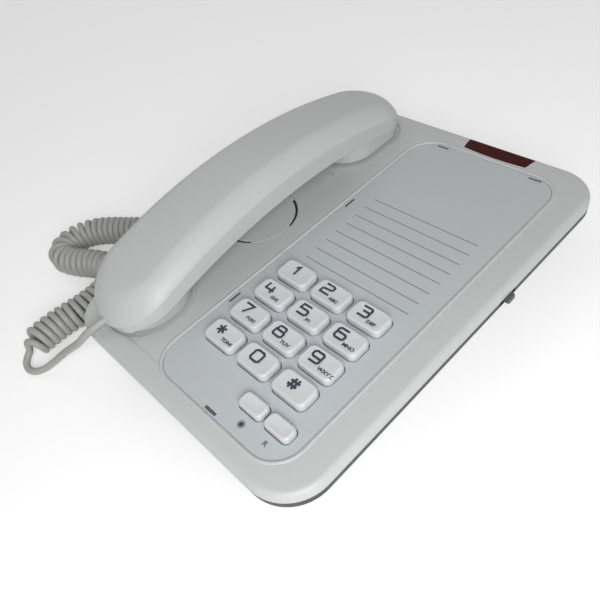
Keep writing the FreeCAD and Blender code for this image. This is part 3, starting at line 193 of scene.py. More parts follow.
class Value:
    """A node's socket as a number that Python's operators work on; each operation adds one Math node."""

    def __init__(self, nodes, socket):
        self.nodes = nodes
        self.socket = socket

    def _math(self, operation, first, second):
        return self.nodes.node("ShaderNodeMath", {"operation": operation}, {0: first, 1: second})

    def __add__(self, other):
        return self._math("ADD", self, other)

    def __radd__(self, other):
        return self._math("ADD", other, self)

    def __sub__(self, other):
        return self._math("SUBTRACT", self, other)

    def __rsub__(self, other):
        return self._math("SUBTRACT", other, self)

    def __mul__(self, other):
        return self._math("MULTIPLY", self, other)

    def __rmul__(self, other):
        return self._math("MULTIPLY", other, self)


class Nodes:
    """A node tree that is added to by one method."""

    def __init__(self, tree):
        self.tree = tree

    def node(self, kind, settings=None, sockets=None, output=0):
        """Adds a node, sets its settings first, then gives its sockets their values or links."""
        item = self.tree.nodes.new(kind)
        for key, setting in (settings or {}).items():
            setattr(item, key, setting)
        for key, value in (sockets or {}).items():
            self.feed(item.inputs[key], value)
        return Value(self, item.outputs[output])

    def feed(self, socket, value):
        """Links a value to a socket, or sets a plain number or colour on the socket itself."""
        if isinstance(value, Value):
            self.tree.links.new(value.socket, socket)
        else:
            socket.default_value = value

    def pale_rays(self):
        """1 on the rays that see floor and room paler than they shine, 0 on those that light the telephone."""
        kinds = ("Is Camera Ray", "Is Glossy Ray", "Is Transmission Ray")
        seen, mirrored, through = (self.node("ShaderNodeLightPath", output=kind) for kind in kinds)
        return 1 - (1 - seen) * (1 - mirrored) * (1 - through)


class Finish(Nodes):
    """A material under construction: one Principled shader and the nodes that feed it."""

    def __init__(self, label):
        self.material = bpy.data.materials.new(label)
        self.material.use_nodes = True
        super().__init__(self.material.node_tree)
        self.shader = self.tree.nodes["Principled BSDF"]
        self.places = self.node("ShaderNodeTexCoord", output="Object")

    def set(self, **values):
        """Feeds the shader's sockets, named with underscores for spaces."""
        for key, value in values.items():
            self.feed(self.shader.inputs[key.replace("_", " ")], value)

    def noise(self, scale, detail=2.0, roughness=0.5, stretch=(1, 1, 1)):
        """Noise on the piece's own coordinates, of so many cells to the metre."""
        at = self.places
        if stretch != (1, 1, 1):
            at = self.node("ShaderNodeMapping", None, {"Vector": self.places, "Scale": stretch})
        return self.node("ShaderNodeTexNoise", None,
                         {"Vector": at, "Scale": scale, "Detail": detail, "Roughness": roughness})

    def tint(self, factor, first, second):
        """A colour between two, by a factor."""
        return self.node("ShaderNodeMix", {"data_type": "RGBA"},
                         {"Factor": factor, 6: (*first, 1), 7: (*second, 1)}, output=2)

    def bump(self, height, strength, distance):
        """A normal that leans with a height."""
        return self.node("ShaderNodeBump", None,
                         {"Height": height, "Strength": strength, "Distance": distance})


def scaled(colour, factor):
    """A colour times a factor, no part above 1."""
    return tuple(min(1.0, part * factor) for part in colour)


def moulded_plastic(label, colour, roughness, grain=1500.0, relief=0.25):
    """Moulded plastic: fine spark-eroded grain, slow tone changes and rubbed patches."""
    finish = Finish(label)
    fine = finish.noise(grain, 3.0, 0.6)
    slow = finish.noise(22.0, 3.0)
    rubbed = finish.noise(90.0, 4.0, 0.7)
    tone = slow * 0.6 + fine * 0.4
    finish.set(
        Base_Color=finish.tint(tone, scaled(colour, 0.93), scaled(colour, 1.06)),
        Roughness=rubbed * 0.16 + (roughness - 0.08),
        Normal=finish.bump(fine, relief, 0.00012),
    )
    return finish.material


def speckled_plate(label, colour):
    """The faceplate's printed sheet: a cool satin grey with a fine silver speckle."""
    finish = Finish(label)
    speck = finish.noise(2600.0, 1.0)
    cloud = finish.noise(30.0, 2.0)
    tone = speck * 0.75 + cloud * 0.25
    finish.set(
        Base_Color=finish.tint(tone, scaled(colour, 0.86), scaled(colour, 1.13)),
        Roughness=0.30 + speck * 0.22,
        Normal=finish.bump(speck, 0.12, 0.00008),
    )
    return finish.material


def lamp_red(label, colour):
    """Dark red translucent moulding with upright prisms moulded behind its smooth face."""
    finish = Finish(label)
    ribs = finish.node("ShaderNodeTexWave", {"bands_direction": "X", "wave_profile": "TRI"},
                       {"Vector": finish.places, "Scale": 110.0, "Distortion": 0.4}, output=1)
    cloud = finish.noise(120.0, 3.0)
    finish.set(
        Base_Color=finish.tint(ribs * 0.7 + cloud * 0.3, scaled(colour, 0.7), scaled(colour, 1.4)),
        Roughness=0.38 + cloud * 0.14,
        Specular_IOR_Level=0.08,
        Normal=finish.bump(ribs, 0.10, 0.0002),
    )
    return finish.material


def ink(label, colour):
    """Screen-printed ink, a little uneven."""
    finish = Finish(label)
    patch = finish.noise(900.0, 2.0)
    finish.set(
        Base_Color=finish.tint(patch, colour, scaled(colour, 2.2)),
        Roughness=0.38 + patch * 0.2,
    )
    return finish.material


def cord_jacket(label, colour):
    """Smooth extruded jacket, a little darker where hands have soiled it."""
    finish = Finish(label)
    soil = finish.noise(70.0, 4.0, 0.65)
    fine = finish.noise(2200.0, 2.0)
    finish.set(
        Base_Color=finish.tint(soil, scaled(colour, 0.86), scaled(colour, 1.08)),
        Roughness=0.36 + soil * 0.18,
        Normal=finish.bump(fine, 0.08, 0.00006),
    )
    return finish.material


def clear_plug(label):
    """Clear moulded plug with faint flow marks."""
    finish = Finish(label)
    flow = finish.noise(260.0, 3.0, stretch=(1, 0.25, 1))
    finish.set(
        Base_Color=finish.tint(flow, (0.70, 0.73, 0.74), (0.84, 0.86, 0.86)),
        Roughness=0.10 + flow * 0.14,
        Transmission_Weight=0.55,
        IOR=1.49,
    )
    return finish.material


def brushed_metal(label, colour, roughness):
    """Plain metal with a drawn grain along Y."""
    finish = Finish(label)
    grain = finish.noise(900.0, 3.0, 0.6, stretch=(1, 0.06, 1))
    finish.set(
        Base_Color=finish.tint(grain, scaled(colour, 0.82), scaled(colour, 1.1)),
        Roughness=roughness + grain * 0.2,
        Metallic=1.0,
        Normal=finish.bump(grain, 0.1, 0.00005),
    )
    return finish.material


def board_laminate(label):
    """Green board with its pale traces, squared cells between dark joints."""
    finish = Finish(label)
    cells = finish.node("ShaderNodeTexVoronoi", {"distance": "CHEBYCHEV", "feature": "F1"},
                        {"Vector": finish.places, "Scale": 160.0})
    weave = finish.noise(700.0, 2.0)
    finish.set(
        Base_Color=finish.tint(cells * 0.8 + weave * 0.2, (0.02, 0.13, 0.06), (0.06, 0.30, 0.14)),
        Roughness=0.32 + weave * 0.2,
    )
    return finish.material


def smoothstep(share):
    """The soft step s * s * (3 - 2 * s) of a share, held between 0 and 1."""
    share = np.clip(share, 0, 1)
    return share * share * (3 - 2 * share)


def turned(x, y, z, place):
    """The matrix whose columns are three unit directions and a place."""
    matrix = np.eye(4)
    matrix[:3, :] = np.stack((x, y, z, np.array(place)), axis=-1)
    return Matrix(matrix.tolist())


def link(obj):
    """Puts an object into the scene."""
    bpy.context.scene.collection.objects.link(obj)
    return obj


def surface(label, points, material, around=True):
    """A mesh of quads on a grid of points (rows, columns, 3), whose columns close on themselves if around."""
    rows, columns = points.shape[:2]
    row = np.arange(rows - 1)[:, None] * columns
    column = np.arange(columns if around else columns - 1)[None, :]
    ahead = (column + 1) % columns
    quads = np.stack((row + column, row + ahead, row + columns + ahead, row + columns + column), axis=-1)
    mesh = bpy.data.meshes.new(label)
    mesh.from_pydata(points.reshape(-1, 3).tolist(), [], quads.reshape(-1, 4).tolist())
    mesh.polygons.foreach_set("use_smooth", np.ones(len(mesh.polygons), bool))
    mesh.materials.append(material)
    return link(bpy.data.objects.new(label, mesh))


def closed(obj):
    """Merges the doubled points at poles and turns every face outwards."""
    work = bmesh.new()
    work.from_mesh(obj.data)
    bmesh.ops.remove_doubles(work, verts=work.verts, dist=1e-7)
    bmesh.ops.recalc_face_normals(work, faces=work.faces)
    work.to_mesh(obj.data)
    work.free()
    return obj


def rounded_outline(width, depth, radius, steps=8):
    """Points round a rectangle with round corners: four quarter circles joined by straight sides."""
    turn = np.linspace(0, np.pi / 2, steps + 1)
    quarter = np.arange(4)[:, None]
    angle = (turn[None, :] + quarter * np.pi / 2).ravel()
    across = np.repeat(np.array((1, -1, -1, 1)), steps + 1) * (width / 2 - radius)
    along = np.repeat(np.array((1, 1, -1, -1)), steps + 1) * (depth / 2 - radius)
    return np.stack((across + radius * np.cos(angle), along + radius * np.sin(angle)), axis=-1)


def key_cap(low, high, radius, crown, dish):
    """A key's cap on the grid (profile, outline).

    The outline is a rounded rectangle, a draft wider at its foot. Up the profile it draws in to the crown,
    then by crown * (1 - cos a) as it rises by crown * sin a, and then shrinks to the middle, where the top
    has sunk by dish * (1 - s * s) at the share s of the way out.
    """
    draft = 0.25 * MM
    middle = (low + high) / 2
    width, depth, height = high - low
    outline = rounded_outline(width, depth, radius)
    half = np.array((width, depth)) / 2
    turn = np.linspace(0, np.pi / 2, 7)
    share = np.linspace(0.94, 0.0, 9)
    draw = crown * (1 - np.cos(turn))
    rim = (half - draw[:, None]) / half
    foot = (half + draft) / half
    scale = np.vstack(([[0, 0]], [foot], rim, rim[-1] * share[:, None]))
    level = np.concatenate(([0, 0], height - crown + crown * np.sin(turn), height - dish * (1 - share ** 2)))
    points = np.empty((len(scale), len(outline), 3))
    points[:, :, :2] = middle[:2] + outline[None] * scale[:, None]
    points[:, :, 2] = low[2] + level[:, None]
    return points


def plate_lip():
    """The low rounded lip round the faceplate's recess, on the grid (profile, outline).

    Each row is the plate's rounded outline, grown by a step outwards and raised to its level of the profile.
    """
    low, high = (np.array(corner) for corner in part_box("faceplate"))
    width, depth = (high - low)[:2]
    outward = np.array((0.1, 0.4, 0.8, 1.1, 1.5, 2.0, 2.0, 0.1, 0.1)) * MM
    level = np.array((0.1, 0.52, 0.74, 0.80, 0.72, 0.51, 0.3, 0.02, 0.1)) * MM
    rows = [rounded_outline(width + 2 * grow, depth + 2 * grow, PLATE_CORNER * MM + grow) for grow in outward]
    points = np.empty((len(rows), len(rows[0]), 3))
    points[:, :, :2] = (low + high)[:2] / 2 + np.array(rows)
    points[:, :, 2] = high[2] + level[:, None]
    return points


def arch_height(y):
    """Height of the circle's arc that the handset's back follows up to its crest, in millimetres."""
    return ARCH_CREST - ARCH_RADIUS + np.sqrt(ARCH_RADIUS ** 2 - (y - ARCH_Y) ** 2)


def back_height(x, y):
    """Height of the handset's back over plan points, all in millimetres.

    Across the arc, at the share s of the half width, the back falls by crown * s ** 2 and, past the flat
    share f, by drop * (1 - (1 - t ** 1.5) ** 0.7) with t = (s - f) / (1 - f). The drop grows round both ends,
    and the flat share shrinks round the mouth's.
    """
    crown = 1.0
    along = np.clip(y, MOUTH_Y, EAR_Y)
    half = np.interp(along, (MOUTH_Y, EAR_Y), (MOUTH_HALF, EAR_HALF))
    away = np.hypot(x - HANDSET_X, y - along)
    share = np.clip(away / half, 0, 1)
    ahead = np.clip(np.abs(y - along) / np.maximum(away, 1e-6), 0, 1) ** 2
    at_mouth = ahead * (y < MOUTH_Y)
    at_ear = ahead * (y > EAR_Y)
    flat = 0.60 - 0.08 * at_mouth
    drop = 8.0 + 2.4 * at_mouth + 1.0 * at_ear
    past = np.clip((share - flat) / (1 - flat), 0, 1)
    return arch_height(y) - crown * share ** 2 - drop * (1 - (1 - past ** 1.5) ** 0.7)


def handset_back():
    """The handset's back on the grid (outwards and under, round the outline), in metres.

    A row is the outline, two half circles joined by straight sides, at a share of its half width from the
    middle line, lying on the back. The last two rows turn in under the rim and close the form below.
    """
    under_rim, under_arch = 0.4, 9.0
    side = np.linspace(MOUTH_Y, EAR_Y, 64)
    end = np.linspace(0, np.pi, 40)[1:-1]
    spine = np.concatenate((side, np.full_like(end, EAR_Y), side[::-1], np.full_like(end, MOUTH_Y)))
    turn = np.concatenate((np.zeros_like(side), end, np.full_like(side, np.pi), end + np.pi))
    half = np.interp(spine, (MOUTH_Y, EAR_Y), (MOUTH_HALF, EAR_HALF))
    share = np.concatenate((np.sin(np.linspace(0, np.pi / 2, 34)), (0.97, 0.0)))[:, None]
    points = np.empty((len(share), len(spine), 3))
    points[:, :, 0] = HANDSET_X + share * half * np.cos(turn)
    points[:, :, 1] = spine + share * half * np.sin(turn)
    points[:, :, 2] = back_height(points[:, :, 0], points[:, :, 1])
    points[-2, :, 2] = points[-3, :, 2] - under_rim
    points[-1, :, 2] = arch_height(spine) - under_arch
    return points * MM


def front_fitted(points):
    """The handset's front shell, in metres, fitted to the back that lies on it.

    Over soft steps above the deck its width grows to the back's, and what stands past the back's outline
    draws in to just inside it. No point stands higher than a little under the back.
    """
    ends = (MOUTH_Y, EAR_Y)
    inside, under = 0.985, 0.3
    x, y, z = (points / MM).T
    half = np.interp(y, ends, (MOUTH_HALF, EAR_HALF))
    wider = 1 + (half / np.interp(y, ends, SHELL_HALVES) - 1) * smoothstep((z - 38) / 6)
    x = HANDSET_X + (x - HANDSET_X) * wider
    along = np.clip(y, *ends)
    share = np.hypot(x - HANDSET_X, y - along) / np.interp(along, ends, (MOUTH_HALF, EAR_HALF))
    inward = 1 - (1 - np.minimum(inside / np.maximum(share, 0.1), 1)) * smoothstep((z - 37) / 3)
    x = HANDSET_X + (x - HANDSET_X) * inward
    y = along + (y - along) * inward
    return np.stack((x, y, np.minimum(z, back_height(x, y) - under)), axis=-1) * MM


def disc_fitted(points):
    """The cradle disc, in metres, turned about the upright line through its middle."""
    turn = math.radians(DISC_TURN)
    x, y = points[:, 0] - DISC_X * MM, points[:, 1] - DISC_Y * MM
    moved = points.copy()
    moved[:, 0] = DISC_X * MM + x * math.cos(turn) - y * math.sin(turn)
    moved[:, 1] = DISC_Y * MM + x * math.sin(turn) + y * math.cos(turn)
    return moved


def tub_fitted(points):
    """The tub's band, in metres, brought out to lie almost flush under the cover's rim.

    The plan grows by a share that rises in a soft step from 0 at the lower level to its full value at the
    upper one. The share along Y is smaller, because the base is longer that way.
    """
    lower, upper, grow, along = 20, 27, 0.008, 0.74
    outward = grow * smoothstep((points[:, 2] / MM - lower) / (upper - lower))
    return points * np.stack((1 + outward, 1 + along * outward, np.ones_like(outward)), axis=-1)


def softened(label, node, edge, material, fitted=None):
    """A node's own mesh, merged, with smooth shading and a small round on its moulded edges.

    A function fitted may move its points first.
    """
    mesh = frame["nodes"][node].data.copy()
    work = bmesh.new()
    work.from_mesh(mesh)
    bmesh.ops.remove_doubles(work, verts=work.verts, dist=1e-6)
    bmesh.ops.dissolve_limit(work, angle_limit=math.radians(0.5), verts=work.verts, edges=work.edges)
    work.to_mesh(mesh)
    work.free()
    if fitted:
        points = np.empty(len(mesh.vertices) * 3)
        mesh.vertices.foreach_get("co", points)
        mesh.vertices.foreach_set("co", fitted(points.reshape(-1, 3)).ravel())
    mesh.name = label
    mesh.polygons.foreach_set("use_smooth", np.ones(len(mesh.polygons), bool))
    mesh.set_sharp_from_angle(angle=EDGE_TURN)
    mesh.materials.clear()
    mesh.materials.append(material)
    obj = link(bpy.data.objects.new(label, mesh))
    if edge:
        bevel = obj.modifiers.new("edge_round", "BEVEL")
        bevel.width = edge
        bevel.segments = 3
        bevel.limit_method = "ANGLE"
        bevel.angle_limit = EDGE_TURN
        bevel.use_clamp_overlap = True
        bevel.harden_normals = True
    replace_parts(obj, node)
    return obj


def evaluated(curve):
    """The points and faces that a curve or a text makes; the curve itself is removed."""
    carrier = link(bpy.data.objects.new(curve.name, curve))
    bpy.context.view_layer.update()
    mesh = bpy.data.meshes.new_from_object(carrier.evaluated_get(bpy.context.evaluated_depsgraph_get()))
    points = np.empty(len(mesh.vertices) * 3)
    mesh.vertices.foreach_get("co", points)
    faces = [tuple(face.vertices) for face in mesh.polygons]
    bpy.data.objects.remove(carrier)
    bpy.data.curves.remove(curve)
    bpy.data.meshes.remove(mesh)
    return points.reshape(-1, 3), faces


def text_points(text, height, stretch=1.0, weight=0.0):
    """A line of text as flat points and faces, its box centred on the origin and as high as given."""
    curve = bpy.data.curves.new("lettering", "FONT")
    curve.body = text
    curve.offset = weight
    curve.resolution_u = 6
    points, faces = evaluated(curve)
    low, high = points.min(axis=0), points.max(axis=0)
    points = (points - (low + high) / 2) * height / (high[1] - low[1])
    points[:, 0] *= stretch
    return points, faces


def print_mesh(label, prints, material):
    """Printed shapes, each (points, faces, place), joined in one flat mesh."""
    points, faces, count = [], [], 0
    for shape, corners, place in prints:
        points.append(shape + np.array(place))
        faces += [tuple(corner + count for corner in face) for face in corners]
        count += len(shape)
    mesh = bpy.data.meshes.new(label)
    mesh.from_pydata(np.concatenate(points).tolist(), [], faces)
    mesh.materials.append(material)
    return link(bpy.data.objects.new(label, mesh))


def strip(length, width):
    """A flat rectangle about the origin."""
    x, y = length / 2, width / 2
    return np.array(((-x, -y, 0), (x, -y, 0), (x, y, 0), (-x, y, 0))), [(0, 1, 2, 3)]


def ring(radius, inner, steps=40):
    """A flat ring about the origin, or a dot when inner is 0."""
    turn = np.linspace(0, 2 * np.pi, steps, endpoint=False)
    outer = np.stack((np.cos(turn), np.sin(turn), 0 * turn), axis=-1)
    step = np.arange(steps)
    ahead = (step + 1) % steps
    points = np.concatenate((outer * radius, outer * max(inner, radius * 0.01)))
    faces = np.stack((step, ahead, ahead + steps, step + steps), axis=-1).tolist()
    return points, faces


def arc(radius, width, middle, half, steps=24):
    """A flat band along an arc about the origin; angles in degrees."""
    turn = np.radians(np.linspace(middle - half, middle + half, steps))
    way = np.stack((np.cos(turn), np.sin(turn), 0 * turn), axis=-1)
    points = np.concatenate((way * (radius - width / 2), way * (radius + width / 2)))
    step = np.arange(steps - 1)[:, None]
    return points, (step + (0, steps, steps + 1, 1)).tolist()


def drawn(character, width, height, line):
    """A character's strokes as flat bands of one width, their corners mitred, about the origin."""
    points, faces, count = [], [], 0
    for layer, stroke in enumerate(STROKES[character]):
        path = (np.array(stroke) - 0.5) * (width - line, height - line)
        way = np.diff(path, axis=0)
        way /= np.linalg.norm(way, axis=1)[:, None]
        normal = np.stack((-way[:, 1], way[:, 0]), axis=-1)
        before = np.vstack((normal[:1], normal))
        after = np.vstack((normal, normal[-1:]))
        if stroke[0] == stroke[-1]:
            before[0], after[-1] = normal[-1], normal[0]
        mitre = (before + after) / (1 + (before * after).sum(axis=1))[:, None] * line / 2
        band = np.stack((path - mitre, path + mitre), axis=1).reshape(-1, 2)
        points.append(np.column_stack((band, np.full(len(band), layer * 0.003 * MM))))
        step = np.arange(len(path) - 1)[:, None] * 2 + count
        faces += (step + (0, 2, 3, 1)).tolist()
        count += len(band)
    return np.concatenate(points), faces


def route_points(route):
    """Points along the smooth spline that has the route's points as its control points."""
    curve = bpy.data.curves.new("cord_route", "CURVE")
    curve.dimensions = "3D"
    curve.resolution_u = 48
    spline = curve.splines.new("NURBS")
    spline.points.add(len(route) - 1)
    spline.points.foreach_set("co", [part for point in route for part in (*(np.array(point) * MM), 1.0)])
    spline.order_u = 3
    spline.use_endpoint_u = True
    return evaluated(curve)[0]


def run_along(points):
    """The length of the line from its first point to each of its points."""
    return np.concatenate(([0.0], np.cumsum(np.linalg.norm(np.diff(points, axis=0), axis=1))))


def spread(points, count):
    """The same line with so many points, evenly spaced; further columns go along with them."""
    run = run_along(points[:, :3])
    even = np.linspace(0, run[-1], count)
    return np.stack([np.interp(even, run, column) for column in points.T], axis=-1)


def curly_line(points, start, end, reach, pitch):
    """The jacket's centreline: the route, with curls wound about it between start and end.

    At the run r along the route the line stands at route(r) + w(r) * (side * cos p + up * sin p). The
    phase p grows by 2 pi over each pitch and slower in a bend, where the curls crowd on the inner side.
    Over the first and last few millimetres both the phase's growth and the width w start from 0. The
    direction in brackets, outwards from the route, is given back as well.
    """
    samples, window, ease = 6000, 121, 8 * MM
    line = spread(points, samples)
    run = run_along(line)
    along = np.gradient(line, axis=0)
    along /= np.linalg.norm(along, axis=1)[:, None]
    side = np.cross(UP, along)
    side /= np.linalg.norm(side, axis=1)[:, None]
    lift = np.cross(along, side)
    bend = np.linalg.norm(np.gradient(along, axis=0), axis=1) / np.gradient(run)
    soft = np.convolve(np.pad(bend, window // 2, "edge"), np.ones(window) / window, "valid")
    first = np.argmin(np.linalg.norm(line - np.array(start) * MM, axis=1))
    last = np.argmin(np.linalg.norm(line - np.array(end) * MM, axis=1))
    curled = smoothstep((run - run[first]) / ease) * smoothstep((run[last] - run) / ease)
    rate = curled * (1 - np.clip(0.5 * reach * soft, 0, 0.3)) * 2 * np.pi / pitch
    phase = np.concatenate(([0.0], np.cumsum(rate[1:] * np.diff(run))))
    turns = np.round(phase[-1] / (2 * np.pi))
    phase *= turns * 2 * np.pi / phase[-1]
    outward = side * np.cos(phase)[:, None] + lift * np.sin(phase)[:, None]
    return line + reach * curled[:, None] * outward, outward


def tube_points(line, outward, radius, sides):
    """A round tube on the grid (along, around): line + radius * (n * cos a + m * sin a).

    Of the two directions across the line, n is the outward one, squared to the line, and m is square to both.
    """
    along = np.gradient(line, axis=0)
    along /= np.linalg.norm(along, axis=1)[:, None]
    normal = outward - along * (outward * along).sum(axis=1)[:, None]
    normal /= np.linalg.norm(normal, axis=1)[:, None]
    other = np.cross(along, normal)
    turn = np.linspace(0, 2 * np.pi, sides, endpoint=False)[None, :, None]
    return line[:, None] + radius * (normal[:, None] * np.cos(turn) + other[:, None] * np.sin(turn))


def finishes():
    """The telephone's materials by slot name, made once."""
    colours = bpy.context.scene.telephone_colours
    makers = {
        "cover_plastic": lambda name: moulded_plastic(name, colours.cover, 0.42),
        "key_plastic": lambda name: moulded_plastic(name, colours.key, 0.30, 2400.0, 0.08),
        # The tub's near-black is partly painted shade under the cover's rim.
        "tub_plastic": lambda name: moulded_plastic(name, colours.tub, 0.50, 1100.0, 0.4),
        "dark_plastic": lambda name: moulded_plastic(name, (0.09, 0.09, 0.095), 0.40),
        "rubber": lambda name: moulded_plastic(name, (0.06, 0.06, 0.06), 0.72, 800.0, 0.5),
        "faceplate_plastic": lambda name: speckled_plate(name, colours.plate),
        "lamp_red": lambda name: lamp_red(name, colours.lamp),
        "led_red": lambda name: lamp_red(name, (0.40, 0.03, 0.03)),
        "cord_jacket": lambda name: cord_jacket(name, colours.cord),
        "plug_plastic": clear_plug,
        "steel": lambda name: brushed_metal(name, (0.56, 0.56, 0.57), 0.30),
        "speaker_metal": lambda name: brushed_metal(name, (0.62, 0.62, 0.63), 0.36),
        "board": board_laminate,
        # legend_ink also paints the shade in the disc's slits, and line_ink paints the shade in the latch
        # slots.
        "legend_ink": lambda name: ink(name, colours.ink),
        "line_ink": lambda name: ink(name, (0.055, 0.058, 0.070)),
    }
    made = bpy.data.materials
    return {name: made.get("telephone_" + name) or make("telephone_" + name) for name, make in makers.items()}


class TELEPHONE_OT_base(bpy.types.Operator):
    """Finish the base: cover, tub, faceplate, cradle disc, hook parts, lamp and switch"""

    bl_idname = "telephone.base"
    bl_label = "Base"

    def execute(self, context):
        sizes = context.scene.telephone_sizes
        paint = finishes()
        pieces = (
            ("base_cover", "base_top_cover", sizes.cover_edge, "cover_plastic", "base"),
            # The tub takes the near-black that is partly painted shade under the cover's rim.
            ("base_tub", "base_bottom_cover", sizes.cover_edge, "tub_plastic", "base"),
            ("base_faceplate", "faceplate", 0.15 * MM, "faceplate_plastic", "base"),
            ("cradle_grille_disc", "cradle_disc", 0.25 * MM, "cover_plastic", "base"),
            ("lamp_window", "message_lamp_lens", 0.4 * MM, "lamp_red", "base"),
            ("hook_button", "hook_plunger", 0.5 * MM, "cover_plastic", "hook_plunger"),
            ("hook_tab", "handset_hook_tab", 0.35 * MM, "cover_plastic", "handset_hook_tab"),
            ("ringer_slider", "ringer_switch_knob", 0.3 * MM, "dark_plastic", "ringer_switch_knob"),
        )
        for label, node, edge, slot, body in pieces:
            fitted = {"base_tub": tub_fitted, "cradle_grille_disc": disc_fitted}.get(label)
            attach(softened(label, node, edge, paint[slot], fitted), body)
        lip = closed(surface("faceplate_lip", plate_lip(), paint["cover_plastic"]))
        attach(lip, "base")
        return {"FINISHED"}


class TELEPHONE_OT_handset(bpy.types.Operator):
    """Finish the handset's two shells"""

    bl_idname = "telephone.handset"
    bl_label = "Handset"

    def execute(self, context):
        edge = context.scene.telephone_sizes.handset_edge
        plastic = finishes()["cover_plastic"]
        back = closed(surface("handset_back", handset_back(), plastic))
        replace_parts(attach(back, "handset"), "handset_upper_shell")
        front = softened("handset_front", "handset_lower_shell", edge, plastic, front_fitted)
        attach(front, "handset")
        return {"FINISHED"}


class TELEPHONE_OT_keys(bpy.types.Operator):
    """Make the dished key caps, with their legends"""

    bl_idname = "telephone.keys"
    bl_label = "Keys"

    def execute(self, context):
        sizes = context.scene.telephone_sizes
        paint = finishes()
        flange = 1.0 * MM
        for node in (*KEY_LETTERS, *FUNCTION_KEYS):
            low, high = (np.array(corner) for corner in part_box(node))
            low[:2] += flange
            high[:2] -= flange
            radius = 2.4 * MM if node in FUNCTION_KEYS else 3.0 * MM
            cap = key_cap(low, high, radius, sizes.key_crown, sizes.key_dish)
            piece = closed(surface("cap_" + node, cap, paint["key_plastic"]))
            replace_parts(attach(piece, node), node)
            if node in KEY_LETTERS:
                self.legend(node, low, high, sizes, paint["legend_ink"])
        return {"FINISHED"}

    def legend(self, node, low, high, sizes, material):
        """The digit and, to its lower right, the letters, just above the dished top."""
        digit, letters = KEY_LETTERS[node]
        x, y = (low[:2] + high[:2]) / 2
        z = high[2] - 0.02 * MM
        stroke, aside, rise = 1.1 * MM, (2.6 if letters else 0.8) * MM, 0.9 * MM
        shape, faces = drawn(digit, sizes.digit, sizes.digit, stroke)
        prints = [(shape, faces, (x - aside, y + rise, z))]
        if letters:
            shape, faces = text_points(letters, sizes.letters, stretch=1.15, weight=0.035)
            start, sink = 1.2 * MM - shape[:, 0].min(), 2.6 * MM
            prints.append((shape, faces, (x + start, y - sink, z)))
        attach(print_mesh("legend_" + node, prints, material), node)


class TELEPHONE_OT_print(bpy.types.Operator):
    """Print the ruled lines and the function keys' marks, and paint shade into the latch slots and the disc's
    slits as dark strips
    """

    bl_idname = "telephone.print"
    bl_label = "Faceplate print"

    def execute(self, context):
        paint = finishes()
        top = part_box("faceplate")[1][2] + 0.03 * MM
        lines = self.lines(context.scene.telephone_sizes.line, top)
        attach(print_mesh("faceplate_print_and_slot_shade", lines, paint["line_ink"]), "base")
        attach(print_mesh("slit_shade_and_key_marks", self.marks(top), paint["legend_ink"]), "base")
        return {"FINISHED"}

    def lines(self, width, top):
        """The ruled lines on the plate, and painted shade as a dark strip on the floor of each latch slot."""
        line, faces = strip(RULED_LENGTH * MM, width)
        places = [(RULED_X * MM, (RULED_FIRST_Y + RULED_STEP * row) * MM, top) for row in range(RULED_COUNT)]
        # Painted shade: dark ink strips just under the plate's top, in the latch slots, where shade falls.
        floor = top - 0.25 * MM
        return [(line, faces, place) for place in places] + [
            (*strip(long * MM, wide * MM), (x * MM, y * MM, floor)) for x, y, long, wide in LATCH_SLOTS
        ]

    def marks(self, top):
        """Painted shade as a dark arc in each of the disc's slits, a ringed dot for redial and a letter for
        flash.
        """
        disc = (DISC_X * MM, DISC_Y * MM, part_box("cradle_disc")[1][2] - 0.5 * MM)
        redial, flash = ((x * MM, y * MM, top) for x, y in (REDIAL_MARK, FLASH_MARK))
        # Painted shade: dark ink arcs in the disc's slits, where shade falls.
        slits = [arc(SLIT_RADIUS * MM, SLIT_SHADE_WIDTH * MM, middle + DISC_TURN, SLIT_HALF)
                 for middle in SLIT_MIDDLES]
        return [(*slit, disc) for slit in slits] + [
            (*ring(radius=1.1 * MM, inner=0.0), redial),
            (*ring(radius=1.7 * MM, inner=1.4 * MM), redial),
            (*text_points("R", 2.3 * MM, stretch=1.1, weight=0.01), flash),
        ]


class TELEPHONE_OT_cord(bpy.types.Operator):
    """Lay the curly cord from the handset's plug to the base's plug"""

    bl_idname = "telephone.cord"
    bl_label = "Curly cord"

    def execute(self, context):
        sizes = context.scene.telephone_sizes
        reach = (sizes.curl - sizes.wire) / 2
        curly = curly_line(route_points(CORD_ROUTE), CURLS_START, CURLS_END, reach, sizes.pitch)
        sections, sides = 2600, 10
        line, outward = np.split(spread(np.hstack(curly), sections), 2, axis=1)
        tube = tube_points(line, outward, sizes.wire / 2, sides)
        caps = np.repeat(line[[0, -1]][:, None], sides, axis=1)
        tube = np.concatenate((caps[:1], tube, caps[1:]))
        cord = closed(surface("curly_cord", tube, finishes()["cord_jacket"]))
        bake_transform(cord)
        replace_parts(cord, "cord_tail_handset", "cord_coil", "cord_tail_base")
        return {"FINISHED"}


class TELEPHONE_OT_fittings(bpy.types.Operator):
    """Give the jacks, feet, screws and inner pieces their finishes"""

    bl_idname = "telephone.fittings"
    bl_label = "Fittings"

    def execute(self, context):
        paint = finishes()
        slots = {part["node"]: part["material_slot"] for part in frame["record"]["subparts"]}
        for name, node in frame["nodes"].items():
            node.data.materials.clear()
            node.data.materials.append(paint[slots[name]])
        return {"FINISHED"}


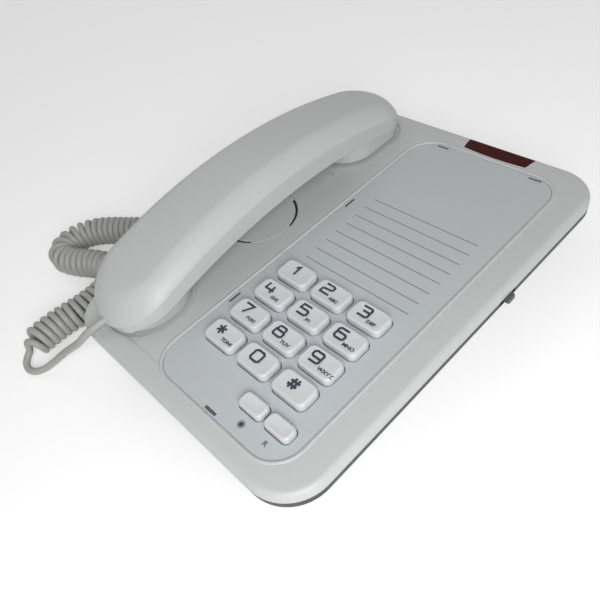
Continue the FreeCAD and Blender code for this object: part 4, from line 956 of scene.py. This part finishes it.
class TELEPHONE_OT_stage(bpy.types.Operator):
    """Set the floor, the soft lights and the camera"""

    bl_idname = "telephone.stage"
    bl_label = "Stage"

    def execute(self, context):
        scene = context.scene
        scene.view_settings.view_transform = "Standard"
        self.floor(scene.telephone_colours.floor)
        self.lights(scene)
        self.camera(scene)
        return {"FINISHED"}

    def floor(self, colour):
        """A wide floor at the level of the feet, faintly mottled, that looks paler than it shines."""
        finish = Finish("pale_floor")
        mottle = finish.noise(12.0, 2.0)
        finish.set(
            Base_Color=finish.tint(mottle, colour, scaled(colour, 1.03)),
            Roughness=0.85,
            Emission_Color=finish.tint(finish.pale_rays(), (0, 0, 0), (0.36, 0.36, 0.36)),
            Emission_Strength=1.0,
        )
        reach = 3.0
        side = np.linspace(-reach, reach, 3)
        points = np.stack(np.meshgrid(side, side, [0.0], indexing="ij"), axis=-1)[:, :, 0]
        floor = surface("floor", points, finish.material, around=False)
        closed(floor)

    def lights(self, scene):
        """An even room that looks paler than it shines, a softbox by the camera and a weak one on the left."""
        shining, looking = 0.25, 0.90
        scene.world = bpy.data.worlds.new("soft_room")
        scene.world.use_nodes = True
        room = Nodes(scene.world.node_tree)
        background = room.tree.nodes["Background"]
        room.feed(background.inputs["Color"], (1, 1, 1, 1))
        room.feed(background.inputs["Strength"], room.pale_rays() * (looking - shining) + shining)
        for label, place, size, power in (
            ("key_softbox", (0.36, -0.25, 0.34), 0.28, 2.05),
            ("fill_softbox", (-0.60, 0.05, 0.90), 0.80, 0.8),
        ):
            light = bpy.data.lights.new(label, "AREA")
            light.size = size
            light.energy = power
            lamp = link(bpy.data.objects.new(label, light))
            lamp.visible_camera = False
            away = np.array(place) / np.linalg.norm(place)
            across = np.cross(UP, away)
            across /= np.linalg.norm(across)
            lamp.matrix_world = turned(across, np.cross(away, across), away, place)

    def camera(self, scene):
        """The viewpoint that the ruled lines and the key grid of the photograph give."""
        view = bpy.data.cameras.new("view")
        view.sensor_width = 36.0
        view.lens = 35.89
        camera = link(bpy.data.objects.new("view", view))
        right = np.array((0.68817849, 0.70048126, -0.18904067))
        rise = np.array((-0.43915466, 0.60955472, 0.65998956))
        ahead = np.array((-0.57754096, 0.37117253, -0.72710205))
        camera.matrix_world = turned(right, rise, -ahead, np.array((167.75, -133.93, 233.04)) * MM)
        scene.camera = camera


class TELEPHONE_PT_panel(bpy.types.Panel):
    """Lists the telephone's pieces in the sidebar"""

    bl_idname = "TELEPHONE_PT_panel"
    bl_label = "Telephone"
    bl_space_type = "VIEW_3D"
    bl_region_type = "UI"
    bl_category = "Telephone"

    def draw(self, context):
        for operator in OPERATORS:
            self.layout.operator(operator.bl_idname)


OPERATORS = (
    TELEPHONE_OT_stage,
    TELEPHONE_OT_cord,
    TELEPHONE_OT_base,
    TELEPHONE_OT_handset,
    TELEPHONE_OT_keys,
    TELEPHONE_OT_print,
    TELEPHONE_OT_fittings,
)
CLASSES = (FinishColours, TelephoneSizes, *OPERATORS, TELEPHONE_PT_panel)


def register():
    for item in CLASSES:
        bpy.utils.register_class(item)
    bpy.types.Scene.telephone_colours = PointerProperty(type=FinishColours)
    bpy.types.Scene.telephone_sizes = PointerProperty(type=TelephoneSizes)


def unregister():
    del bpy.types.Scene.telephone_sizes
    del bpy.types.Scene.telephone_colours
    for item in reversed(CLASSES):
        bpy.utils.unregister_class(item)


def main():
    """Builds the telephone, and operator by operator."""
    register()
    bpy.ops.telephone.stage()
    bpy.ops.telephone.cord()
    bpy.ops.telephone.base()
    bpy.ops.telephone.handset()
    bpy.ops.telephone.keys()
    bpy.ops.telephone.print()
    bpy.ops.telephone.fittings()


if __name__ == "__main__":
    main()
